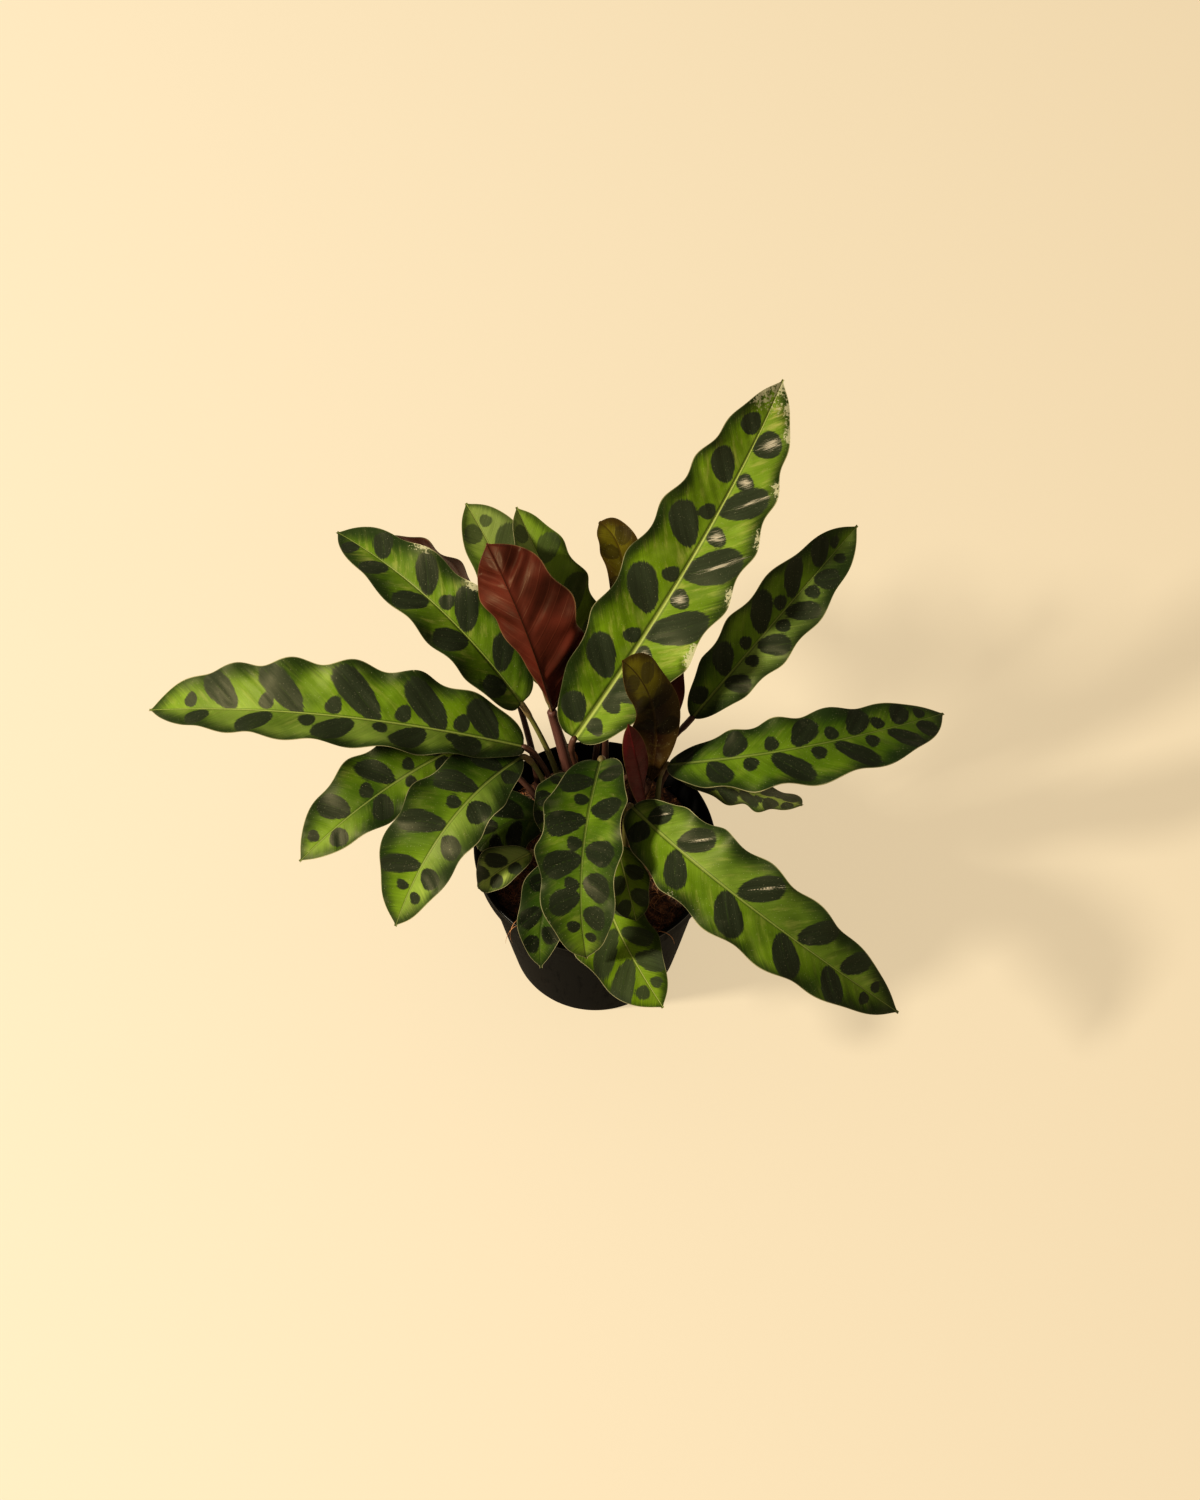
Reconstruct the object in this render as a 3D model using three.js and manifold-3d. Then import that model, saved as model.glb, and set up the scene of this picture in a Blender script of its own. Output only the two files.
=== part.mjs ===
// A potted rattlesnake plant: long, wavy, patterned leaves on thin stalks, growing from peat in a round nursery pot.
// Millimetres, +Z up, front of the plant towards -Y. The origin is the middle of the pot's underside.
import * as THREE from "three";
import { mergeVertices } from "three/addons/utils/BufferGeometryUtils.js";
import Module from "manifold-3d";

const wasm = await Module();
wasm.setup();

const CLEARANCE = 0.3; // between pieces that touch

// The pot
const POT_HEIGHT = 98;
const RIM_RADIUS = 60;
const RIM_BAND_HEIGHT = 11;
const BASE_RADIUS = 42;
const SHOULDER_RADIUS = 56; // outside of the wall, just under the rim band
const POT_WALL = 1.6;
const POT_SIDES = 48;
const BASE_THICKNESS = 2;
const DRAIN_HOLES = 6;
const DRAIN_RADIUS = 4.5;
const DRAIN_RING_RADIUS = 29;

// The soil
const SOIL_TOP = 88;
const SOIL_CROWN = 2; // how much higher the soil stands at its middle

// The leaves
const BLADE_THICKNESS = 0.9;
const TIP_WIDTH = 1.4;
const POINT_SHARE = 0.03; // of the blade's length, over which its blunt end is drawn out to a point
const WAVE_SHARE = 0.11; // how far the margin stands above and below the blade, as a share of its half width
const WAVE_SPREAD = 0.2; // how much higher or lower than that a wave may be
const WAVE_DRIFT = 0.5; // radians by which a wave may come early or late
const MARGIN_SWELL = 0.06; // how much each wave widens the blade
const MARGIN_LAG = 1.2; // radians by which the right margin's waves trail the left one's
const ROWS_PER_WAVE = 4;
const FEWEST_ROWS = 9;
const ACROSS = [-1, -0.5, 0, 0.5, 1]; // lines along the blade, from margin to margin
const STALK_TOP_RADIUS = 1.2;
const STALK_FOOT_RADIUS = 1.9;
const STALK_DEPTH = 12; // how deep a stalk stands in the soil
const STALK_SIDES = 8;
const STALK_STEPS = 7;

const COLOURS = {
  pot: { color: 0x15140f, roughness: 0.3, metalness: 0 },
  soil: { color: 0x3a2216, roughness: 0.95, metalness: 0 },
  blade: { color: 0x6b7f24, roughness: 0.4, metalness: 0 },
  youngBlade: { color: 0x5a4a1e, roughness: 0.45, metalness: 0 },
  maroonBlade: { color: 0x64261c, roughness: 0.5, metalness: 0 },
  stalk: { color: 0x55502a, roughness: 0.5, metalness: 0 },
  sheath: { color: 0x4a2b25, roughness: 0.55, metalness: 0 },
  bract: { color: 0xa8672a, roughness: 0.7, metalness: 0 },
};

// Each leaf: root is where its stalk leaves the soil; base, middle and tip are points of the blade's midrib.
// roll turns the blade about its midrib and fold lifts both halves from it, in degrees. waves counts the waves of
// a margin. fullest is where along the blade it is widest, and a small point makes a blunt tip. bias makes the
// right half wider than the left, and skew makes it widest nearer to the tip.
const LEAVES = {
  tall_right: {
    root: [-3, 27],
    base: [-10, 33, 145],
    middle: [49, 92, 223],
    tip: [90, 158, 270],
    width: 56, bias: -0.08, roll: -32, fold: 15, waves: 7, fullest: 0.39, point: 0.62,
  },
  back_right: {
    root: [18, 27],
    base: [48, 51, 135],
    middle: [87, 79, 178],
    tip: [128, 121, 200],
    width: 37, bias: -0.12, roll: -38, fold: 18, waves: 4.5, fullest: 0.5, point: 0.6,
  },
  right: {
    root: [31, 12],
    base: [36, 27, 130],
    middle: [101, 22, 155],
    tip: [172, 55, 132],
    width: 39, bias: 0.1, roll: 0, fold: 4, waves: 5, fullest: 0.52, point: 0.45,
  },
  right_low: {
    root: [30, 19],
    base: [38, 31, 118],
    middle: [74, 14, 127],
    tip: [102, 12, 116],
    width: 28, bias: 0, roll: -90, fold: 6, waves: 3, fullest: 0.42, point: 0.6,
  },
  front_right: {
    root: [15, -4],
    base: [18, -4, 142],
    middle: [70, -61, 152],
    tip: [147, -89, 90],
    width: 43, bias: 0, roll: -18, fold: 8, waves: 6, fullest: 0.48, point: 0.5,
  },
  front: {
    root: [1, 3],
    base: [3, 22, 142],
    middle: [-6, -42, 154],
    tip: [-4, -73, 116],
    width: 44, bias: 0, roll: -16, fold: 18, waves: 4, fullest: 0.4, point: 0.58,
  },
  front_left_narrow: {
    root: [-8, -14],
    base: [-10, -14, 118],
    middle: [-24, -45, 118],
    tip: [-26, -72, 104],
    width: 26, bias: 0, roll: 0, fold: 6, waves: 2.5, fullest: 0.45, point: 0.75,
  },
  front_low: {
    root: [2, -12],
    base: [4, -22, 103],
    middle: [11, -52, 107],
    tip: [33, -90, 97],
    width: 40, bias: 0.2, roll: 0, fold: 6, waves: 3, fullest: 0.55, point: 0.55,
  },
  front_short: {
    root: [10, -8],
    base: [11, -14, 120],
    middle: [15, -33, 122],
    tip: [20, -52, 115],
    width: 22, bias: 0, roll: 0, fold: 6, waves: 2, fullest: 0.5, point: 0.45,
  },
  left_front: {
    root: [-17, 8],
    base: [-36, 25, 140],
    middle: [-71, -19, 150],
    tip: [-97, -49, 104],
    width: 41, bias: 0.18, roll: 8, fold: 8, waves: 4, fullest: 0.5, point: 0.6,
  },
  left_low: {
    root: [-24, 18],
    base: [-67, 42, 122],
    middle: [-107, 13, 124],
    tip: [-145, -13, 104],
    width: 37, bias: 0.18, roll: 10, fold: 6, waves: 3.5, fullest: 0.45, point: 0.7,
  },
  left_long: {
    root: [-16, 14],
    base: [-35, 31, 140],
    middle: [-128, 32, 168],
    tip: [-219, 52, 140],
    width: 48, bias: 0.1, roll: 4, fold: 26, waves: 6.5, fullest: 0.45, point: 0.52,
  },
  back_left: {
    root: [-15, 24],
    base: [-36, 48, 153],
    middle: [-78, 82, 190],
    tip: [-127, 129, 182],
    width: 38, bias: 0.05, roll: 5, fold: 18, waves: 4.5, fullest: 0.4, point: 0.52,
  },
  back_left_hidden: {
    root: [-28, 32],
    base: [-52, 92, 160],
    middle: [-71, 116, 168],
    tip: [-104, 138, 165],
    width: 32, bias: 0, roll: -78, fold: 6, waves: 3, fullest: 0.42, point: 0.75,
  },
  back_tall: {
    root: [-9, 31],
    base: [-25, 62, 146],
    middle: [-41, 97, 178],
    tip: [-63, 130, 206],
    width: 33, bias: 0.13, roll: 3, fold: 10, waves: 3.5, fullest: 0.55, point: 0.5,
  },
  back_middle: {
    root: [-1, 37],
    base: [1, 65, 153],
    middle: [-21, 91, 193],
    tip: [-38, 119, 219],
    width: 36, bias: -0.05, roll: -12, fold: 20, waves: 4, fullest: 0.4, point: 0.68,
  },
  maroon_back: {
    root: [-10, 20],
    base: [-21, 45, 150],
    middle: [-33, 60, 200],
    tip: [-52, 96, 222],
    width: 44, bias: -0.18, roll: 214, fold: 20, waves: 3.5, fullest: 0.62, skew: 0.14, point: 0.5,
    colour: "maroonBlade",
    stalkRadius: 2.9,
    stalkTopRadius: 2.1,
  },
  back_small: {
    root: [5, 34],
    base: [10, 79, 180],
    middle: [13, 100, 202],
    tip: [2, 115, 212],
    width: 19, bias: 0, roll: 0, fold: 8, waves: 1.5, fullest: 0.65, point: 0.4,
    colour: "youngBlade",
  },
  young: {
    root: [20, 16],
    base: [27, 25, 118],
    middle: [28, 32, 174],
    tip: [13, 39, 207],
    width: 26, bias: 0, roll: 10, fold: 10, waves: 2, fullest: 0.6, point: 0.4,
    colour: "youngBlade",
  },
  young_rolled: {
    root: [26, 10],
    base: [25, 13, 113],
    middle: [21, 14, 149],
    tip: [16, 20, 180],
    width: 16, bias: 0, roll: 190, fold: 4, waves: 1, fullest: 0.35, point: 0.6,
    colour: "maroonBlade",
  },
  behind_tall: {
    root: [10, 31],
    base: [30, 38, 130],
    middle: [34, 58, 148],
    tip: [41, 86, 164],
    width: 20, bias: 0, roll: 165, fold: 6, waves: 2, fullest: 0.42, point: 0.75,
    colour: "maroonBlade",
  },
  left_short: {
    root: [-20, -8],
    base: [-31, -16, 118],
    middle: [-44, -27, 123],
    tip: [-57, -32, 112],
    width: 20, bias: 0.2, roll: 10, fold: 4, waves: 1.5, fullest: 0.6, point: 0.4,
  },
  left_shaded: {
    root: [-23, 3],
    base: [-24, 8, 103],
    middle: [-41, 6, 110],
    tip: [-57, -6, 103],
    width: 34, bias: 0, roll: 10, fold: 4, waves: 2, fullest: 0.6, point: 0.45,
  },
  front_curled: {
    root: [-7, 4],
    base: [-12, 22, 130],
    middle: [-20, 4, 138],
    tip: [-26, -10, 128],
    width: 18, bias: 0, roll: 0, fold: 10, waves: 2, fullest: 0.5, point: 0.75,
  },
};

// A dry, pointed scale at the foot of the stalks
const BRACT = {
  base: [-13, 44, 88.2],
  middle: [-12, 46, 104],
  tip: [-14, 45, 118],
  width: 7, bias: 0, roll: 0, fold: 20, waves: 0, fullest: 0.35, point: 0.8,
};

const UP = new THREE.Vector3(0, 0, 1);

// A geometry with only its places left, and each shared corner kept once.
function welded(geometry) {
  geometry.deleteAttribute("normal");
  geometry.deleteAttribute("uv");
  return mergeVertices(geometry, 1e-4);
}

function solidOf(geometry) {
  const closed = welded(geometry);
  return new wasm.Manifold(
    new wasm.Mesh({
      numProp: 3,
      vertProperties: closed.attributes.position.array,
      triVerts: new Uint32Array(closed.index.array),
    }),
  );
}

function geometryOf(solid) {
  const mesh = solid.getMesh();
  const geometry = new THREE.BufferGeometry();
  geometry.setAttribute("position", new THREE.BufferAttribute(mesh.vertProperties, 3));
  geometry.setIndex(new THREE.BufferAttribute(mesh.triVerts, 1));
  return geometry;
}

// A solid turned about Z from a closed outline of [radius, height] pairs, counterclockwise.
function turned(outline, sides) {
  const points = outline.map(([radius, height]) => new THREE.Vector2(radius, height));
  points.push(points[0].clone());
  return new THREE.LatheGeometry(points, sides).rotateX(Math.PI / 2);
}

// An upright rod whose flats stand at the given radius, to cut a hole with.
function uprightRod(x, y, low, high, radius, sides) {
  const corner = radius / Math.cos(Math.PI / sides);
  const rod = new THREE.CylinderGeometry(corner, corner, high - low, sides);
  return rod.rotateX(Math.PI / 2).translate(x, y, (low + high) / 2);
}

function cutBy(geometry, cutters) {
  let solid = solidOf(geometry);
  for (const cutter of cutters) {
    solid = solid.subtract(solidOf(cutter));
  }
  return geometryOf(solid);
}

function potRadiusAt(height) {
  const shoulder = POT_HEIGHT - RIM_BAND_HEIGHT;
  return BASE_RADIUS + ((SHOULDER_RADIUS - BASE_RADIUS) * height) / shoulder;
}

function potGeometry() {
  const shoulder = POT_HEIGHT - RIM_BAND_HEIGHT;
  const bandFoot = RIM_RADIUS - 1;
  const inside = potRadiusAt(shoulder) - POT_WALL;
  const rimInside = RIM_RADIUS - 2.2;
  const shell = turned(
    [
      [0, 0],
      [BASE_RADIUS - 1, 0],
      [BASE_RADIUS, 1],
      [potRadiusAt(shoulder), shoulder],
      [bandFoot, shoulder],
      [RIM_RADIUS - 0.3, POT_HEIGHT - 2.2],
      [RIM_RADIUS, POT_HEIGHT - 1.2],
      [RIM_RADIUS - 0.5, POT_HEIGHT - 0.2],
      [RIM_RADIUS - 1.1, POT_HEIGHT],
      [rimInside + 0.3, POT_HEIGHT - 0.3],
      [rimInside, POT_HEIGHT - 1.2],
      [inside, shoulder - 1],
      [potRadiusAt(BASE_THICKNESS) - POT_WALL, BASE_THICKNESS],
      [0, BASE_THICKNESS],
    ],
    POT_SIDES,
  );
  const holes = Array.from({ length: DRAIN_HOLES }, (_, i) => {
    const angle = (2 * Math.PI * (i + 0.5)) / DRAIN_HOLES;
    const x = DRAIN_RING_RADIUS * Math.cos(angle);
    const y = DRAIN_RING_RADIUS * Math.sin(angle);
    return uprightRod(x, y, -1, BASE_THICKNESS + 1, DRAIN_RADIUS, 16);
  });
  return cutBy(shell, holes);
}

function stalkRadiusOf(leaf) {
  return leaf.stalkRadius ?? STALK_FOOT_RADIUS;
}

function soilGeometry() {
  const low = BASE_THICKNESS + CLEARANCE;
  const gap = POT_WALL + CLEARANCE;
  const body = turned(
    [
      [0, low],
      [potRadiusAt(low) - gap, low],
      [potRadiusAt(SOIL_TOP - 4) - gap, SOIL_TOP - 4],
      [potRadiusAt(SOIL_TOP - 4) - gap - 2, SOIL_TOP - 1],
      [35, SOIL_TOP + 0.5 * SOIL_CROWN],
      [0, SOIL_TOP + SOIL_CROWN],
    ],
    POT_SIDES,
  );
  const holes = Object.values(LEAVES).map((leaf) => {
    const [x, y] = leaf.root;
    const foot = SOIL_TOP - STALK_DEPTH - CLEARANCE;
    return uprightRod(x, y, foot, SOIL_TOP + 20, stalkRadiusOf(leaf) + CLEARANCE, 8);
  });
  return cutBy(body, holes);
}

// The midrib: one smooth bend from base through middle to tip.
function midribOf(leaf) {
  const base = new THREE.Vector3(...leaf.base);
  const tip = new THREE.Vector3(...leaf.tip);
  const control = new THREE.Vector3(...leaf.middle).multiplyScalar(2).sub(base.clone().add(tip).multiplyScalar(0.5));
  return new THREE.QuadraticBezierCurve3(base, control, tip);
}

// How wide the blade is at a share of its length, as a share of its full width. across is below 0 in the left half.
function fullness(leaf, along, across) {
  const fullest = leaf.fullest + (leaf.skew ?? 0) * Math.sign(across);
  const inner = (leaf.point * fullest) / (1 - fullest);
  const shape = (x) => Math.pow(x, inner) * Math.pow(1 - x, leaf.point);
  const drawnOut = 1 - Math.exp((along - 1) / POINT_SHARE);
  return (drawnOut * shape(along)) / shape(fullest);
}

// A point in the middle of the blade's thickness, and the direction of its upper face there.
function bladePlace(leaf, midrib, along, across) {
  const place = midrib.getPoint(along);
  const forward = midrib.getTangent(along);
  const flatSide = forward.clone().cross(UP).normalize();
  const flatFace = flatSide.clone().cross(forward);
  const roll = THREE.MathUtils.degToRad(leaf.roll);
  const side = flatSide.clone().multiplyScalar(Math.cos(roll)).addScaledVector(flatFace, Math.sin(roll));
  const face = flatFace.clone().multiplyScalar(Math.cos(roll)).addScaledVector(flatSide, -Math.sin(roll));
  const fold = THREE.MathUtils.degToRad(leaf.fold);
  const edge = Math.abs(across);
  const half = Math.max((leaf.width / 2) * fullness(leaf, along, across), TIP_WIDTH / 2);
  const halfHere = half * (1 + leaf.bias * Math.sign(across));
  const drift = Math.sin(7 * along + leaf.waves);
  const phase = 2 * Math.PI * leaf.waves * along + WAVE_DRIFT * drift + (across > 0 ? MARGIN_LAG : 0);
  const calm = Math.min(1, 4 * along, 4 * (1 - along));
  const out = halfHere * across * (1 + MARGIN_SWELL * edge * Math.cos(phase) * calm);
  const wave = WAVE_SHARE * (1 + WAVE_SPREAD * drift) * halfHere * edge * edge * Math.sin(phase) * calm;
  place.addScaledVector(side, out * Math.cos(fold));
  place.addScaledVector(face, Math.abs(out) * Math.sin(fold) + wave);
  return { place, face };
}

// A closed blade: an upper and a lower sheet split into triangles alike, joined round the margin.
function bladeGeometry(leaf) {
  const midrib = midribOf(leaf);
  const rows = Math.max(FEWEST_ROWS, Math.round(ROWS_PER_WAVE * leaf.waves) + 2);
  const columns = ACROSS.length;
  const places = [];
  for (const height of [BLADE_THICKNESS / 2, -BLADE_THICKNESS / 2]) {
    for (let row = 0; row <= rows; row++) {
      for (const across of ACROSS) {
        const { place, face } = bladePlace(leaf, midrib, row / rows, across);
        places.push(...place.addScaledVector(face, height).toArray());
      }
    }
  }
  const sheet = (rows + 1) * columns;
  const index = [];
  const quad = (a, b, c, d) => index.push(a, b, c, a, c, d);
  for (let row = 0; row < rows; row++) {
    for (let column = 0; column < columns - 1; column++) {
      const a = row * columns + column;
      const b = a + 1;
      const c = b + columns;
      const d = a + columns;
      quad(a, b, c, d);
      index.push(a + sheet, c + sheet, b + sheet, a + sheet, d + sheet, c + sheet);
    }
    const left = row * columns;
    const right = left + columns - 1;
    quad(left, left + columns, left + columns + sheet, left + sheet);
    quad(right + columns, right, right + sheet, right + columns + sheet);
  }
  const last = rows * columns;
  for (let column = 0; column < columns - 1; column++) {
    quad(column + 1, column, column + sheet, column + 1 + sheet);
    quad(last + column, last + column + 1, last + column + 1 + sheet, last + column + sheet);
  }
  return meshFrom(places, index);
}

function meshFrom(places, index) {
  const geometry = new THREE.BufferGeometry();
  geometry.setAttribute("position", new THREE.Float32BufferAttribute(places, 3));
  geometry.setIndex(index);
  return geometry;
}

// The stalk's line above the soil: straight up at first, then bending to meet the midrib.
function stalkCurve(leaf) {
  const midrib = midribOf(leaf);
  const forward = midrib.getTangent(0);
  const end = new THREE.Vector3(...leaf.base).addScaledVector(forward, -CLEARANCE);
  const foot = new THREE.Vector3(...leaf.root, SOIL_TOP + SOIL_CROWN + 1);
  const reach = foot.distanceTo(end);
  const rise = foot.clone().addScaledVector(UP, reach * 0.45);
  const approach = end.clone().addScaledVector(forward, -reach * 0.2);
  return new THREE.CubicBezierCurve3(foot, rise, approach, end);
}

// A closed round stem that gets thinner from its foot in the soil to the blade.
function stalkGeometry(leaf) {
  const curve = stalkCurve(leaf);
  const foot = new THREE.Vector3(...leaf.root, SOIL_TOP - STALK_DEPTH);
  const rings = [{ centre: foot, forward: UP.clone(), radius: stalkRadiusOf(leaf) }];
  for (let step = 0; step <= STALK_STEPS; step++) {
    const along = step / STALK_STEPS;
    const radius = THREE.MathUtils.lerp(stalkRadiusOf(leaf), leaf.stalkTopRadius ?? STALK_TOP_RADIUS, along);
    rings.push({ centre: curve.getPoint(along), forward: curve.getTangent(along), radius });
  }
  const places = [];
  let side = new THREE.Vector3(1, 0, 0);
  for (const { centre, forward, radius } of rings) {
    side = side.clone().addScaledVector(forward, -side.dot(forward)).normalize();
    const other = forward.clone().cross(side);
    for (let i = 0; i < STALK_SIDES; i++) {
      const angle = (2 * Math.PI * i) / STALK_SIDES;
      const point = centre.clone();
      point.addScaledVector(side, radius * Math.cos(angle));
      point.addScaledVector(other, radius * Math.sin(angle));
      places.push(...point.toArray());
    }
  }
  const index = [];
  const top = (rings.length - 1) * STALK_SIDES;
  for (let ring = 0; ring < rings.length - 1; ring++) {
    for (let i = 0; i < STALK_SIDES; i++) {
      const a = ring * STALK_SIDES + i;
      const b = ring * STALK_SIDES + ((i + 1) % STALK_SIDES);
      index.push(a, b, b + STALK_SIDES, a, b + STALK_SIDES, a + STALK_SIDES);
    }
  }
  for (let i = 1; i < STALK_SIDES - 1; i++) {
    index.push(0, i + 1, i);
    index.push(top, top + i, top + i + 1);
  }
  return meshFrom(places, index);
}

function piece(name, geometry, colour) {
  const mesh = new THREE.Mesh(geometry, new THREE.MeshStandardMaterial(COLOURS[colour]));
  mesh.name = name;
  return mesh;
}

const plant = new THREE.Group();
plant.add(piece("pot", potGeometry(), "pot"));
plant.add(piece("soil", soilGeometry(), "soil"));
plant.add(piece("dry_bract", bladeGeometry(BRACT), "bract"));
for (const [name, leaf] of Object.entries(LEAVES)) {
  plant.add(piece("blade_" + name, bladeGeometry(leaf), leaf.colour ?? "blade"));
  plant.add(piece("stalk_" + name, stalkGeometry(leaf), leaf.stalkRadius ? "sheath" : "stalk"));
}

export default plant;
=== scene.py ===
"""A potted rattlesnake plant: long patterned leaves with waved margins, in a black nursery pot of peat.

Sizes are in millimetres until a mesh is made. The front of the plant is towards -Y.
"""
import math
from dataclasses import dataclass

import bpy
import numpy as np
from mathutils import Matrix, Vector, noise


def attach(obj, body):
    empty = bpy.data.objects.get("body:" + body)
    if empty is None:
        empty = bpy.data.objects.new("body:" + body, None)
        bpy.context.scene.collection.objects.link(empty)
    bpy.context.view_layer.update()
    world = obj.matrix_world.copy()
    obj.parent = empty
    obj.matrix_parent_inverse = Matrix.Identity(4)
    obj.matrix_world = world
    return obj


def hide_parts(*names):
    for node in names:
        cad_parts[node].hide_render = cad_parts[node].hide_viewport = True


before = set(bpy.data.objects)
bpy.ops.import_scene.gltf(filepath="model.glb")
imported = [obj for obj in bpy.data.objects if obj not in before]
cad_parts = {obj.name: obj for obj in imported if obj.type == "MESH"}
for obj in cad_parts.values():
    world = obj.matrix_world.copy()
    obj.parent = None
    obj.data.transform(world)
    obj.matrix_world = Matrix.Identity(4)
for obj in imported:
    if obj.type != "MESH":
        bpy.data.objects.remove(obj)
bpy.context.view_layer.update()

MM = 0.001
UP = np.array([0.0, 0.0, 1.0])

# The pot
POT_HEIGHT = 98
RIM_RADIUS = 60
RIM_BAND_HEIGHT = 11
SHOULDER_HEIGHT = POT_HEIGHT - RIM_BAND_HEIGHT
SHOULDER_RADIUS = 56
BASE_RADIUS = 42
LIP_RADIUS = 1.1
POT_WALL = 1.6
POT_SIDES = 160
BASE_THICKNESS = 2
DRAIN_HOLES = 6
DRAIN_RADIUS = 4.5
DRAIN_RING_RADIUS = 29
DRAIN_SIDES = 32

# The soil
SOIL_TOP = 88
SOIL_CROWN = 2
SOIL_CROWN_RADIUS = 35  # inside which the soil is nearly level
SOIL_BANK_WIDTH = 2  # of the steep edge beside the wall
SOIL_BANK_TOP = 1  # how far the edge's top and its foot lie under SOIL_TOP
SOIL_BANK_FOOT = 4
SOIL_GAP = 0.3
SOIL_RINGS = 56
SOIL_SIDES = 160
LUMP_HEIGHT = 1.6
LUMP_DEPTH = 6  # how far under SOIL_TOP the lumps end
LUMP_CALM = 4  # over which the lumps fade towards the wall
LOOSE_MARGIN = 2.5  # from the pot's wall to where crumbs and fibres lie
CRUMBS_PER_SQUARE_METRE = 210000
FIBRES_PER_SQUARE_METRE = 42000

# The leaves
BLADE_THICKNESS = 0.6
TIP_WIDTH = 1.4
POINT_SHARE = 0.03  # of the blade's length, over which its blunt end is drawn out to a point
WAVE_SHARE = 0.11  # how far the margin stands above and below the blade, as a share of its half width
WAVE_SPREAD = 0.2  # how much higher or lower than that a wave may be
WAVE_DRIFT = 0.5  # radians by which a wave may come early or late
MARGIN_SWELL = 0.06
MARGIN_LAG = 1.2
ROW_STEP = 1.0
COLUMN_STEP = 1.0
USUAL_WIDTH = 50.0  # of a blade whose marks, band and relief have their full size
MARK_HALF_WIDTH = 6.0
MARK_CENTRE = 0.46  # of the half blade's width, out from the midrib
MARK_REACH = 0.44  # of the half blade's width, from there to the mark's outer end
MARK_AHEAD = 0.05  # of the blade's length, from a mark's start to where the blade's width counts for it
MARK_ROUNDNESS = 2.1
MARK_SHRINK = 0.3  # the power of the blade's local width that a mark's width follows
MARK_TAPER = 0.3  # how much fuller a mark is at its outer end
MARK_UNEVEN = 0.08  # how much larger or smaller than its usual size a mark may be
DOT_HALF_WIDTH = 3.6
DOT_REACH = 4.0
DOT_FROM_RIB = 1.0
MARK_GLINT_SCAR_WIDTH = 0.1  # of the mark's own width
DOT_GLINT_SCAR_WIDTH = 0.45
GLINT_SCAR_REACH = 0.6  # of the mark's own length
TIP_GLINT_SCAR_FROM = 0.7  # of the blade's length, where the scarring and glints begin to widen
TIP_GLINT_SCAR_SPREAD = 2.2  # how much wider the scarring and glint are in a large mark near the tip
TIP_WEAR_FROM = 0.84
VEIN_BEND = 0.25
FAR = 50.0
QUILT_STEP = 8.0  # between the soft ridges over the side veins
QUILT_HEIGHT = 0.1
QUILT_UNEVEN = 0.5
CREASE_DEPTH = 0.6
CREASE_WIDTH = 3.5
MARGIN_THICKNESS = 0.45  # of the blade's thickness
RIB_HALF_WIDTH = 1.1
RIB_GROOVE = 0.45  # the groove's depth on the upper side, as a share of the midrib's half width
RIB_KEEL = 0.7  # how far the midrib stands out on the underside, as a share of its half width
RIB_KEEL_STEP = 0.15  # the least that it stands out there
STALK_TOP_RADIUS = 1.2
STALK_FOOT_RADIUS = 1.9
STALK_DEPTH = 12
STALK_SIDES = 14
STALK_STEPS = 44
CUSHION_LENGTH = 11  # of the swollen joint under a blade
CUSHION_SWELL = 0.35

# Loose fibres over the rim. Each is a bend of four points: how far round in degrees, how far out from the
# pot's axis, and how high.
STRANDS = (
    ((228, 49, 85), (229, 59, 112), (230, 68, 100), (231, 64, 88)),
    ((233, 50, 85), (231, 62, 111), (229, 66, 98), (230, 68, 92)),
    ((292, 49, 85), (294, 60, 109), (296, 69, 99), (297, 65, 86)),
    ((300, 50, 85), (303, 61, 108), (306, 65, 101), (306, 66, 94)),
)
STRAND_RADIUS = 0.28
STRAND_FOOT = 1.2  # of that radius, in the soil
STRAND_END = 0.2
STRAND_STEPS = 16
STRAND_SIDES = 6

# The light, the floor and the camera, in metres, watts and degrees
LIT_PLACE = (0, 0, 0.12)
KEY_AROUND = -162  # counterclockwise from +X
KEY_UP = 40
KEY_DISTANCE = 2.6
KEY_SIZE = 0.3
KEY_POWER = 98
KEY_COLOUR = (1.0, 0.9, 0.72)
WORLD_STRENGTH = 0.36
WORLD_COLOUR = (1.0, 0.88, 0.68, 1)
FLOOR_REACH = 3.0
FLOOR_FADE = 0.9  # how far to each side of the pot the floor goes on changing
FLOOR_COLOUR = (0.19, 0.17, 0.135, 1)
FLOOR_GLOW_LEFT = (0.62, 0.52, 0.36, 1)
FLOOR_GLOW_RIGHT = (0.54, 0.425, 0.27, 1)
CAMERA_PLACE = (0.00247, -1.01057, 1.8914)
CAMERA_TILT = 30.7  # from straight down
CAMERA_LENS = 100  # millimetres, as is the sensor's width
SENSOR_WIDTH = 36

# What every leaf's finish shares, and which value kept at each point feeds which input of a pattern
SATIN = {"Specular_IOR_Level": 0.14, "Specular_Tint": (1.0, 0.92, 0.6, 1)}
UPPER_SIDE = [
    ("Mark", "mark"), ("Main vein", "main_vein"), ("Side vein", "side_vein"), ("Out", "out"), ("Rib", "rib"),
    ("Margin", "margin"), ("Tone", "tone"), ("Wear", "wear"), ("Scarring and glint", "glint_scar"), ("Painted sheen", "painted_sheen"),
]
UNDERSIDE = [("Side vein", "side_vein"), ("Out", "out"), ("Rib", "rib"), ("Margin", "margin")]
STALK_SKIN = [("Along", "along"), ("Around", "around"), ("Cushion", "cushion")]
FIRST_SEED = 3
BRACT_SEED = 1


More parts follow.
